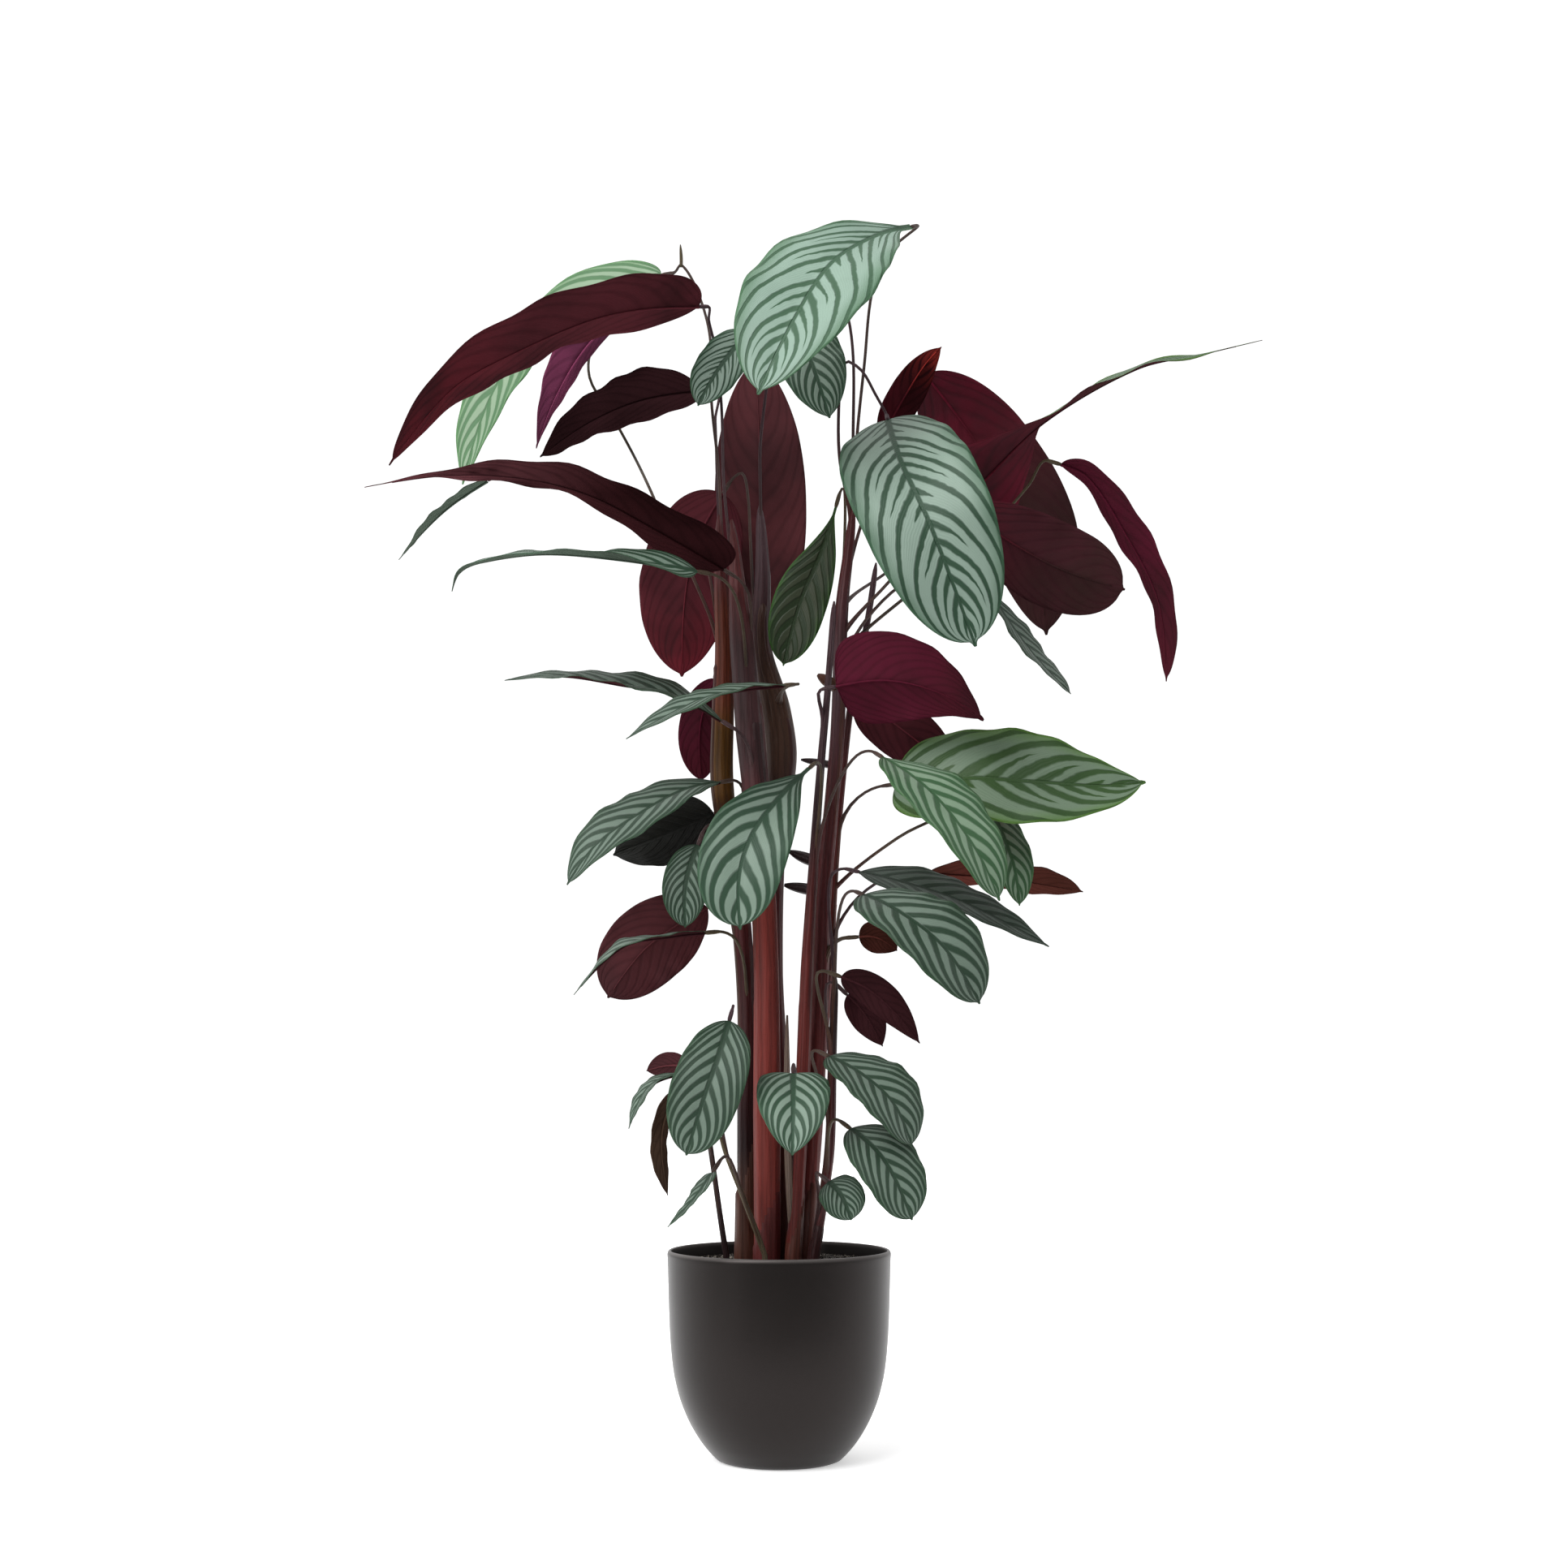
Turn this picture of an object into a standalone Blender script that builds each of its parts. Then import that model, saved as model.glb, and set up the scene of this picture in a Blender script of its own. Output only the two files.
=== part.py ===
"""Potted ctenanthe: a clump of leafy stems in a round-bottomed plastic planter.

Metres, +Z up, origin at the middle of the planter's base, front towards -Y.
Sizes in the tables below are millimetres.
"""
import math

import bmesh
import bpy
from mathutils import Vector

MM = 0.001

# Planter: a turned shell with a rounded lip and a small flat base.
POT_RIM_RADIUS = 110.0
POT_HEIGHT = 200.5
POT_WALL = 3.6
POT_FLOOR = 5.0
POT_BASE_RADIUS = 56.0
POT_STEPS = 40
# Outer wall below the lip: radius and height.
POT_WALL_OUTSIDE = [
    (109.6, 190.0), (108.0, 143.0), (106.4, 113.0), (103.4, 86.0), (99.0, 66.0),
    (93.6, 50.0), (85.5, 33.0), (75.5, 17.5), (66.0, 6.5), (61.0, 1.8),
]

# Potting soil: fills the planter to just below the lip.
SOIL_TOP = 190.5
SOIL_EDGE_TOP = 188.0
SOIL_CLEARANCE = 0.35
FOOT_SPREAD = 1.04
HOLE_CLEARANCE = 0.35
HOLE_HEIGHT = 80.0

# Leaf blades and their stalks.
BLADE_THICKNESS = 0.8
BLADE_ROWS = 8
SMALL_BLADE_ROWS = 6
SMALL_BLADE_WIDTH = 60.0
BLADE_COLUMNS = 4
MARGIN_WAVE = 0.03
MARGIN_WAVES = 1.6
STALK_GAP = 0.35
STALK_RADIUS = 1.4
JOINT_RADIUS = 2.2
JOINT_LENGTH = 14.0
STALK_STEP = 34.0
CANE_STEP = 60.0

# The plant is laid out as it is seen from this point: a place is given by where its
# line of sight meets the upright plane through the planter's axis (across, up), and by
# its depth behind that plane.
EYE = Vector((2.3, -2200.0, 392.0))

# Canes: across, up, depth and radius, from the foot in the soil to the tip.
CANES = {
    "left": [(-31, 150, 8, 10.5), (-31, 195, 8, 10.5), (-32, 330, 8, 9.5), (-33, 450, 6, 9),
             (-42, 560, 8, 9.5), (-57, 655, 12, 11.5), (-57, 735, 12, 11), (-56, 800, 10, 9.5),
             (-60, 880, 8, 7), (-62, 940, 8, 3.5)],
    "front": [(-12, 150, -12, 12.5), (-12, 195, -12, 12.5), (-12, 330, -14, 13.5),
              (-13, 470, -16, 12.5), (-19, 600, -15, 12.5), (-30, 717, -13, 14.5),
              (-39, 817, -11, 12), (-44, 880, -9, 7.5), (-49, 935, -7, 4)],
    "back": [(4, 150, 22, 10), (4, 195, 22, 10), (2, 330, 24, 10), (-6, 470, 28, 10),
             (-6, 600, 32, 12.5), (2, 690, 34, 16), (-4, 740, 34, 15), (-18, 800, 34, 10.5),
             (-17, 880, 36, 8), (-20, 950, 38, 4)],
    "right": [(22, 150, -2, 10.5), (22, 195, -2, 10.5), (34, 330, 0, 10), (41, 470, 2, 8.5),
              (44, 552, 2, 8.5), (52, 634, 2, 7.5), (59, 717, 2, 7), (64, 842, 0, 6.5),
              (72, 910, -2, 5), (76, 950, -4, 3.6)],
    "middle": [(14, 150, -24, 7), (14, 195, -24, 7), (22, 330, -24, 7), (28, 480, -22, 6.5),
               (36, 600, -20, 4.6), (43, 691, -20, 3.8), (48, 745, -20, 3.5),
               (56, 850, -20, 3)],
    "far": [(25, 150, 26, 7), (25, 195, 26, 7), (36, 330, 30, 6.5), (48, 470, 32, 5.5),
            (57, 600, 30, 4.5), (66, 690, 26, 3.8), (74, 752, 22, 3.5), (90, 830, 14, 3.2),
            (99, 890, 10, 3)],
    "low_right": [(34, 150, -24, 5), (34, 195, -24, 5), (42, 240, -28, 5),
                  (50, 300, -30, 5), (53, 391, -32, 4.2), (56, 470, -34, 3.4)],
    "low_left": [(-14, 150, -36, 2.8), (-14, 195, -36, 2.8), (-24, 222, -38, 2.7),
                 (-37, 255, -40, 2.5), (-50, 287, -42, 2.3), (-59, 313, -44, 2.2)],
    "edge": [(-52, 150, -22, 3), (-52, 195, -22, 3), (-58, 232, -24, 2.8),
             (-68, 300, -26, 2.6), (-75, 345, -26, 2.4)],
}

# Short sheaths and buds that end bare: cane, radius and points (across, up, depth).
SHOOTS = [
    ("left", 1.9, [(-102, 1204, 91), (-102, 1214, 92), (-103, 1228, 92)]),
    ("right", 6.4, [(60, 760, 2), (51, 766, -3), (39, 774, -7)]),
    ("right", 4.0, [(55, 681, 4), (40, 684, 13), (22, 687, 16)]),
    ("right", 6.0, [(44, 553, 2), (28, 556, 11), (5, 560, 12)]),
    ("right", 6.4, [(44, 583, 2), (30, 586, 14), (10, 594, 20)]),
    ("middle", 4.0, [(14, 210, -24), (10, 270, -27), (8, 345, -28), (8, 430, -26)]),
]

# Leaves: name, cane, height where the stalk leaves it, midrib points (across, up, depth),
# width, the way the upper side faces at mid length (azimuth from the front, positive to
# the right, and elevation), twist of the base half and of the tip half, half fold angle,
# place of the widest row, how tapered the tip is, and points that the stalk passes.
LEAVES = [
    ("leaf_01", "front", 800, [(-84, 1161, 16), (-181, 1151, -64), (-285, 1106, -96), (-340, 1071, -100),
                               (-401, 992, -96)],
     114, (180, 78), (0, 0), 8, 0.45, 0.3, [(-56, 960, -8), (-60, 1060, 8), (-67, 1120, 20), (-73, 1146, 20)]),
    ("leaf_02", "left", 800, [(-123, 1195, 96), (-210, 1168, 120), (-285, 1089, 112), (-325, 972, 88)],
     95, (-20, 50), (0, 0), 8, 0.45, 0.5,
     [(-62, 980, 28), (-70, 1060, 48), (-72, 1130, 70), (-86, 1180, 86), (-102, 1206, 92)]),
    ("leaf_03", "left", 760, [(-300, 976, 44), (-345, 943, 44), (-389, 893, 32)],
     50, (-80, 43), (0, 0), 8, 0.45, 1.0, [(-90, 920, 24), (-200, 962, 40)]),
    ("leaf_04", "left", 780, [(-165, 1155, 64), (-203, 1114, 56), (-232, 1062, 44), (-250, 1010, 36)],
     50, (-136, 27), (0, 0), 30, 0.40, 1.0,
     [(-95, 890, 32), (-118, 932, 40), (-131, 963, 90), (-150, 1003, 176), (-170, 1040, 192),
      (-196, 1085, 176), (-190, 1125, 120)]),
    ("leaf_05", "left", 820, [(-82, 1071, 128), (-143, 1061, 136), (-197, 1037, 128), (-246, 1001, 112)],
     96, (180, 72), (0, 0), 8, 0.42, 0.5, [(-64, 980, 64), (-66, 1040, 108)]),
    ("leaf_06", "front", 740, [(-57, 883, -40), (-117, 919, -72), (-191, 959, -96), (-255, 977, -120),
                               (-335, 982, -144), (-426, 969, -160)],
     108, (180, 90), (-10, 10), 8, 0.31, 1.0, []),
    ("leaf_07", "front", 720, [(-84, 881, -96), (-160, 893, -136), (-240, 899, -152), (-305, 890, -152),
                               (-326, 880, -148), (-334, 860, -144)],
     70, (0, 77), (45, 0), 8, 0.42, 0.8, []),
    ("leaf_08", "back", 800, [(-58, 962, 80), (-90, 893, 90), (-99, 772, 70)],
     108, (170, 0), (0, 0), 8, 0.45, 0.4, []),
    ("leaf_09", "back", 700, [(-23, 809, 96), (-19, 927, 112), (-24, 1107, 128)],
     100, (180, 0), (0, 0), 8, 0.50, 0.3, []),
    ("leaf_10", "right", 900, [(137, 1247, -56), (99, 1236, -110), (55, 1208, -150), (16, 1148, -195),
                               (-22, 1067, -224)],
     130, (-10, 35), (35, 0), 8, 0.53, 0.3,
     [(80, 1023, 16), (88, 1100, 20), (97, 1180, 0), (116, 1222, -24)]),
    ("leaf_11", "right", 880, [(14, 1150, -32), (36, 1094, -48), (52, 1042, -48)],
     68, (0, 10), (0, 0), 8, 0.45, 0.4, [(76, 1023, 0), (72, 1147, -8), (45, 1185, -20)]),
    ("leaf_12", "back", 840, [(-30, 1135, 0), (-62, 1095, -8), (-84, 1055, -8)],
     52, (0, 20), (0, 0), 8, 0.50, 0.3, [(-20, 1000, 32)]),
    ("leaf_14", "right", 890, [(105, 1020, 16), (128, 1062, 12), (150, 1098, 6), (168, 1118, 4)],
     38, (180, 0), (0, 0), 12, 0.45, 0.5, []),
    ("leaf_15", "right", 860, [(151, 1088, 96), (211, 1004, 128), (258, 915, 144), (272, 815, 128)],
     112, (170, 20), (0, 0), 8, 0.48, 0.4, [(122, 1052, 70), (136, 1084, 84)]),
    ("leaf_16", "right", 830, [(165, 925, 64), (212, 978, 44), (273, 1038, 16), (369, 1094, 0),
                               (437, 1110, 0), (500, 1125, 0)],
     124, (0, 72), (140, 0), 4, 0.30, 2.2, [(110, 880, 80)]),
    ("leaf_17", "right", 920, [(112, 1040, -72), (126, 994, -152), (155, 929, -192), (200, 803, -184)],
     125, (-5, 10), (0, 0), 8, 0.50, 0.0,
     [(62, 1000, -12), (62, 1070, -32), (66, 1102, -44), (84, 1094, -54), (100, 1066, -60)]),
    ("leaf_18", "right", 800, [(182, 950, -16), (276, 889, -32), (353, 862, -48)],
     88, (180, 25), (0, 0), 8, 0.60, 0.0, [(120, 880, -12)]),
    ("leaf_19", "right", 780, [(290, 993, 0), (318, 979, -8), (352, 926, -16), (387, 850, -16), (393, 767, 0)],
     68, (103, 27), (0, 0), 8, 0.50, 0.3, [(160, 880, 16), (225, 936, 30), (256, 971, 12)]),
    ("leaf_20", "right", 760, [(211, 864, -16), (254, 800, -24), (296, 754, -24)],
     56, (57, 30), (0, 0), 8, 0.55, 0.3, []),
    ("leaf_21", "middle", 720, [(58, 762, -48), (112, 768, -72), (166, 754, -96), (207, 727, -112)],
     100, (180, 25), (0, 0), 20, 0.26, 0.8, []),
    ("leaf_22", "far", 600, [(118, 662, -16), (183, 668, -48), (260, 664, -64), (325, 660, -64), (370, 664, -56)],
     112, (10, 25), (0, 0), 8, 0.42, 0.6, []),
    ("leaf_23", "middle", 560, [(105, 689, -96), (155, 652, -152), (196, 598, -176), (221, 544, -176)],
     88, (35, 30), (0, 0), 8, 0.48, 0.3, []),
    ("leaf_24", "far", 540, [(206, 650, -8), (234, 585, -44), (241, 539, -52)],
     44, (20, 0), (0, 0), 8, 0.50, 0.3, [(120, 608, 4), (170, 634, -4)]),
    ("leaf_25", "far", 480, [(150, 572, 16), (228, 566, 32), (305, 553, 32)],
     64, (180, 68), (0, 0), 8, 0.50, 0.3, []),
    ("leaf_26", "low_right", 450, [(81, 573, -32), (165, 550, -64), (222, 524, -72), (270, 498, -72)],
     66, (0, 60), (0, 0), 8, 0.42, 0.8, []),
    ("leaf_27", "low_right", 430, [(85, 550, -112), (125, 530, -160), (165, 497, -180), (200, 441, -180)],
     85, (20, 35), (0, 0), 8, 0.52, 0.1, []),
    ("leaf_28", "right", 470, [(80, 508, -6), (98, 507, -6), (118, 494, -6)],
     32, (180, 10), (0, 0), 8, 0.45, 0.6, []),
    ("leaf_29", "low_right", 380, [(62, 468, -76), (90, 455, -80), (116, 432, -80), (140, 402, -74)],
     38, (180, 10), (0, 0), 30, 0.42, 0.8, []),
    ("leaf_39", "low_right", 350, [(68, 450, -20), (86, 430, -24), (103, 399, -28)],
     36, (170, 0), (0, 0), 20, 0.45, 0.8, []),
    ("leaf_30", "low_right", 300, [(50, 389, -80), (84, 370, -106), (113, 343, -122), (131, 301, -122)],
     74, (30, 40), (0, 0), 8, 0.50, 0.2, []),
    ("leaf_31", "low_right", 260, [(71, 318, -96), (104, 287, -124), (131, 229, -124)],
     66, (20, 25), (0, 0), 8, 0.52, 0.2, []),
    ("leaf_32", "low_right", 225, [(49, 266, -100), (62, 252, -116), (71, 229, -116)],
     42, (0, 20), (0, 0), 8, 0.50, 0.2, []),
    ("leaf_33", "middle", 300, [(14, 372, -80), (14, 335, -128), (13, 292, -144)],
     70, (0, 25), (0, 0), 8, 0.40, 0.5, []),
    ("leaf_34", "low_left", 290, [(-50, 424, -96), (-60, 390, -120), (-74, 350, -128), (-92, 292, -120)],
     68, (-5, 5), (0, 0), 8, 0.52, 0.1, []),
    ("leaf_35", "edge", 320, [(-92, 380, -48), (-112, 380, -44), (-132, 375, -40)],
     26, (180, 10), (0, 0), 8, 0.45, 0.6, []),
    ("leaf_36", "edge", 300, [(-100, 372, -68), (-130, 358, -80), (-149, 318, -80)],
     35, (-65, 40), (0, 0), 8, 0.45, 1.0, []),
    ("leaf_37", "edge", 280, [(-104, 354, -84), (-117, 311, -90), (-110, 253, -84)],
     30, (-120, 0), (0, 0), 8, 0.45, 0.6, []),
    ("leaf_38", "low_left", 240, [(-66, 275, -100), (-82, 252, -112), (-110, 222, -112)],
     26, (-60, 40), (0, 0), 8, 0.30, 1.0, []),
    ("leaf_41", "left", 440, [(-72, 537, 32), (-102, 520, 16), (-137, 493, 0), (-171, 447, -16)],
     82, (180, 10), (0, 0), 8, 0.52, 0.2, []),
    ("leaf_42", "left", 400, [(-75, 512, -48), (-110, 508, -64), (-156, 498, -80), (-205, 450, -80)],
     50, (0, 86), (0, 0), 8, 0.45, 1.0, []),
    ("leaf_44", "left", 560, [(-60, 664, -20), (-95, 656, -44), (-132, 637, -68), (-182, 602, -80),
                              (-213, 560, -80)],
     74, (0, 62), (0, 0), 8, 0.50, 0.4, []),
    ("leaf_45", "left", 540, [(-66, 632, 16), (-115, 610, 8), (-167, 590, 0)],
     75, (0, 20), (0, 0), 8, 0.45, 0.6, []),
    ("leaf_46", "middle", 560, [(30, 678, -80), (2, 650, -128), (-26, 613, -156), (-40, 570, -168), (-39, 515, -168)],
     82, (-5, 10), (0, 0), 8, 0.66, 0.1, []),
    ("leaf_47", "left", 520, [(-82, 600, -80), (-94, 560, -92), (-94, 517, -92)],
     45, (0, 0), (0, 0), 8, 0.50, 0.3, []),
    ("leaf_48", "front", 640, [(-59, 727, -48), (-110, 754, -58), (-159, 763, -60), (-220, 772, -64), (-279, 768, -64)],
     85, (0, 72), (0, 0), 8, 0.42, 0.9, []),
    ("leaf_49", "back", 725, [(4, 763, -126), (-45, 757, -166), (-83, 747, -186), (-155, 708, -188)],
     60, (0, 76), (0, 0), 8, 0.50, 0.7, [(3, 757, -10), (11, 763, -70)]),
    ("leaf_51", "back", 600, [(-66, 770, 72), (-80, 720, 76), (-78, 665, 70)],
     46, (180, 0), (0, 0), 8, 0.50, 0.3, []),
    ("leaf_52", "right", 840, [(58, 948, 24), (45, 905, 22), (22, 850, 16), (4, 783, 10)],
     56, (0, 0), (0, 0), 8, 0.64, 0.2, []),
    ("leaf_54", "far", 640, [(80, 750, 16), (120, 721, 20), (156, 691, 22), (182, 657, 26)],
     60, (180, 0), (0, 0), 8, 0.40, 0.6, []),
]

# How a blade starts where it isn't blunt: over 0.6 it narrows to a wedge, under it is fuller.
BASE_SHAPES = {
    "leaf_07": 1.0, "leaf_10": 2.2, "leaf_14": 0.8, "leaf_18": 0.5, "leaf_19": 0.6, "leaf_22": 0.4,
    "leaf_23": 1.0, "leaf_26": 1.0, "leaf_33": 0.45, "leaf_44": 1.0, "leaf_46": 1.1, "leaf_48": 1.0,
    "leaf_52": 1.0,
}


def place(across, up, depth):
    """The point at this depth that is seen at (across, up) on the upright middle plane."""
    on_plane = Vector((across, 0.0, up))
    return EYE + (on_plane - EYE) * ((depth - EYE.y) / -EYE.y)


def smooth_path(points, count, arrival=None):
    """Points on a smooth curve through the given ones: evenly spaced, or closer together
    towards both ends where the direction of arrival is given."""
    knots = [0.0]
    for a, b in zip(points, points[1:]):
        knots.append(knots[-1] + (b - a).length)
    slopes = []
    last = len(points) - 1
    for i in range(last + 1):
        lo, hi = max(i - 1, 0), min(i + 1, last)
        slopes.append((points[hi] - points[lo]) / (knots[hi] - knots[lo]))
    if last > 1:
        slopes[0] = 1.5 * (points[1] - points[0]) / (knots[1] - knots[0]) - 0.5 * slopes[1]
        slopes[-1] = 1.5 * (points[-1] - points[-2]) / (knots[-1] - knots[-2]) - 0.5 * slopes[-2]
    if arrival is not None:
        slopes[-1] = arrival
    fine = []
    for i in range(last):
        span = knots[i + 1] - knots[i]
        for k in range(24):
            u = k / 24
            fine.append(
                points[i] * (2 * u**3 - 3 * u**2 + 1) + slopes[i] * span * (u**3 - 2 * u**2 + u)
                + points[i + 1] * (3 * u**2 - 2 * u**3) + slopes[i + 1] * span * (u**3 - u**2)
            )
    fine.append(points[-1].copy())
    run = [0.0]
    for a, b in zip(fine, fine[1:]):
        run.append(run[-1] + (b - a).length)
    path, k = [], 0
    for i in range(count):
        share = i / (count - 1)
        if arrival is not None:
            share -= 0.6 * math.sin(2 * math.pi * share) / (2 * math.pi)
        goal = run[-1] * share
        while k < len(fine) - 2 and run[k + 1] < goal:
            k += 1
        u = (goal - run[k]) / (run[k + 1] - run[k])
        path.append(fine[k].lerp(fine[k + 1], u))
    return path


def direction(azimuth, elevation):
    a, e = math.radians(azimuth), math.radians(elevation)
    return Vector((math.sin(a) * math.cos(e), -math.cos(a) * math.cos(e), math.sin(e)))


def rib_frames(rib, face, twist, count=33):
    """Points, directions and upper-side normals along a midrib, without spin but for the twist."""
    path = smooth_path([place(*p) for p in rib], count)
    ahead = []
    for i in range(count):
        ahead.append((path[min(i + 1, count - 1)] - path[max(i - 1, 0)]).normalized())
    middle = count // 2
    normals = [None] * count
    upper = direction(*face)
    normals[middle] = (upper - ahead[middle] * upper.dot(ahead[middle])).normalized()
    for i in range(middle + 1, count):
        turn = ahead[i - 1].rotation_difference(ahead[i])
        normals[i] = turn @ normals[i - 1]
    for i in range(middle - 1, -1, -1):
        turn = ahead[i + 1].rotation_difference(ahead[i])
        normals[i] = turn @ normals[i + 1]
    for i in range(count):
        away = abs(i - middle) / middle
        angle = math.radians(twist[0] if i < middle else twist[1]) * away**2
        side = normals[i].cross(ahead[i])
        normals[i] = normals[i] * math.cos(angle) + side * math.sin(angle)
    return path, ahead, normals


def outline(s, belly, taper, base):
    """Half width of a blade, 0 to 1: an oval with a small drip tip."""
    u = min(s / 0.965, 1.0) ** (math.log(0.5) / math.log(belly))
    away = abs(2 * u - 1)
    if u < 0.5:
        oval = (1 - away**2.4) ** base
    else:
        oval = max(1 - away ** (2.4 - 0.7 * taper), 0.0) ** (0.52 + 0.43 * taper)
    tip = 0.05 if s < 0.96 else 0.05 - 0.9 * (s - 0.96)
    return max(oval, tip)


def blade_rows(rows):
    """Places along the blade, closer together towards both ends."""
    return [0.5 - 0.5 * math.cos(math.pi * i / rows) for i in range(rows + 1)]


def blade_point(frames, width, fold, belly, taper, base, phase, s, t):
    """The point a share s along the midrib and t, -1 to 1, towards the margins."""
    path, ahead, normals = frames
    k = s * (len(path) - 1)
    i = min(int(k), len(path) - 2)
    u = k - i
    centre = path[i].lerp(path[i + 1], u)
    along = ahead[i].lerp(ahead[i + 1], u).normalized()
    normal = normals[i].lerp(normals[i + 1], u)
    normal = (normal - along * normal.dot(along)).normalized()
    side = normal.cross(along)
    reach = 0.5 * width * outline(s, belly, taper, base) * t
    lift = math.radians(fold)
    wave = MARGIN_WAVE * width * t * t * math.sin(math.pi * s)
    wave *= math.sin(2 * math.pi * MARGIN_WAVES * s + phase + (1.9 if t < 0 else 0.0))
    return centre + side * reach * math.cos(lift) + normal * (abs(reach) * math.sin(lift) + wave)


def material(name, colour, roughness):
    mat = bpy.data.materials.new(name)
    mat.use_nodes = True
    shader = mat.node_tree.nodes["Principled BSDF"]
    shader.inputs["Base Color"].default_value = (*colour, 1.0)
    shader.inputs["Roughness"].default_value = roughness
    return mat


def add_object(name, mesh, mat, collection):
    obj = bpy.data.objects.new(name, mesh)
    collection.objects.link(obj)
    if mat:
        mesh.materials.append(mat)
    return obj


def turned(name, profile, mat, collection, steps):
    """A solid of revolution about Z from a closed or axis-to-axis profile in millimetres."""
    mesh = bpy.data.meshes.new(name)
    bm = bmesh.new()
    verts = [bm.verts.new((r * MM, 0.0, z * MM)) for r, z in profile]
    for a, b in zip(verts, verts[1:]):
        bm.edges.new((a, b))
    bm.to_mesh(mesh)
    bm.free()
    obj = add_object(name, mesh, mat, collection)
    screw = obj.modifiers.new("Screw", "SCREW")
    screw.steps = screw.render_steps = steps
    screw.use_merge_vertices = True
    screw.merge_threshold = 0.00005
    return obj


def wall_inside(drop, inset):
    """The outer wall moved in, base to lip: raised near the base, where the wall curves in."""
    points = []
    for r, z in reversed(POT_WALL_OUTSIDE[:-drop]):
        points.append((r - inset, z + inset * max(0.0, (60.0 - z) / 60.0)))
    return points


def build_pot(mat, collection):
    half = POT_WALL / 2
    inner_rim = POT_RIM_RADIUS - POT_WALL
    profile = [(0.0, POT_FLOOR), (POT_BASE_RADIUS - 2.0, POT_FLOOR)] + wall_inside(2, POT_WALL)
    profile += [
        (inner_rim, POT_HEIGHT - half), (inner_rim + 0.3 * half, POT_HEIGHT - 0.3 * half),
        (inner_rim + half, POT_HEIGHT), (POT_RIM_RADIUS - 0.3 * half, POT_HEIGHT - 0.3 * half),
        (POT_RIM_RADIUS, POT_HEIGHT - half),
    ]
    profile += POT_WALL_OUTSIDE + [(POT_BASE_RADIUS, 0.0), (0.0, 0.0)]
    return turned("pot", profile, mat, collection, POT_STEPS)


def build_soil(mat, collection):
    inset = POT_WALL + SOIL_CLEARANCE
    floor = POT_FLOOR + SOIL_CLEARANCE
    profile = [(0.0, SOIL_TOP), (72.0, SOIL_TOP), (POT_RIM_RADIUS - inset - 0.8, SOIL_EDGE_TOP)]
    profile += list(reversed(wall_inside(3, inset)))[1::2]
    profile += [(POT_BASE_RADIUS - 3.0, floor), (0.0, floor)]
    return turned("soil", profile, mat, collection, POT_STEPS)


def build_holes(collection):
    """A plain round cutter around each cane's foot."""
    for name, cane in CANES.items():
        foot = place(*cane[0][:3])
        radius = (cane[0][3] * FOOT_SPREAD + HOLE_CLEARANCE) * MM
        mesh = bpy.data.meshes.new("hole_" + name)
        bm = bmesh.new()
        bmesh.ops.create_cone(
            bm, cap_ends=True, segments=14, radius1=radius, radius2=radius, depth=HOLE_HEIGHT * MM
        )
        bm.to_mesh(mesh)
        bm.free()
        hole = add_object("hole_" + name, mesh, None, collection)
        hole.location = Vector((foot.x, foot.y, foot.z - HOLE_CLEARANCE + HOLE_HEIGHT / 2)) * MM
        hole.hide_render = True
        hole.display_type = "WIRE"


def combine(obj, operation, operands):
    modifier = obj.modifiers.new(operation.title(), "BOOLEAN")
    modifier.operation = operation
    modifier.operand_type = "COLLECTION"
    modifier.collection = operands


def tube(name, points, radii, sides, collection):
    """A closed tapering tube along the points, as a mesh object."""
    curve = bpy.data.curves.new(name, "CURVE")
    curve.dimensions = "3D"
    curve.bevel_depth = MM
    curve.bevel_resolution = (sides - 4) // 2
    curve.use_fill_caps = True
    spline = curve.splines.new("POLY")
    spline.points.add(len(points) - 1)
    for knot, point, radius in zip(spline.points, points, radii):
        knot.co = (*(point * MM), 1.0)
        knot.radius = radius
    shape = bpy.data.objects.new(name + "_curve", curve)
    collection.objects.link(shape)
    bpy.context.view_layer.update()
    mesh = bpy.data.meshes.new_from_object(shape.evaluated_get(bpy.context.evaluated_depsgraph_get()))
    mesh.name = name
    bpy.data.objects.remove(shape)
    bm = bmesh.new()
    bm.from_mesh(mesh)
    bmesh.ops.remove_doubles(bm, verts=bm.verts, dist=0.00002)
    bm.to_mesh(mesh)
    bm.free()
    return add_object(name, mesh, None, collection)


def cane_at(cane, height):
    """The cane's middle and direction at this height of its table."""
    points = [place(*p[:3]) for p in cane]
    for (a, b), (pa, pb) in zip(zip(cane, cane[1:]), zip(points, points[1:])):
        if a[1] <= height <= b[1]:
            u = (height - a[1]) / (b[1] - a[1])
            return pa.lerp(pb, u), (pb - pa).normalized()
    return points[-1], (points[-1] - points[-2]).normalized()


def stalk_path(cane, height, vias, base, ahead):
    """From inside the cane up to the blade's base, arriving along the midrib."""
    start, up = cane_at(cane, height)
    end = base - ahead * STALK_GAP
    joint = end - ahead * JOINT_LENGTH
    if vias:
        points = [start, start + up * 16] + [place(*v) for v in vias]
    else:
        reach = (joint - start).length
        lift = start + up * reach * 0.45
        near = joint - ahead * reach * 0.3
        points = [start]
        for u in (0.2, 0.4, 0.6, 0.8):
            points.append(
                start * (1 - u) ** 3 + lift * 3 * u * (1 - u) ** 2 + near * 3 * u * u * (1 - u) + joint * u**3
            )
    points.append(joint)
    length = sum((b - a).length for a, b in zip(points, points[1:]))
    return smooth_path(points, max(5, round(length / STALK_STEP)), ahead) + [end]


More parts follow.
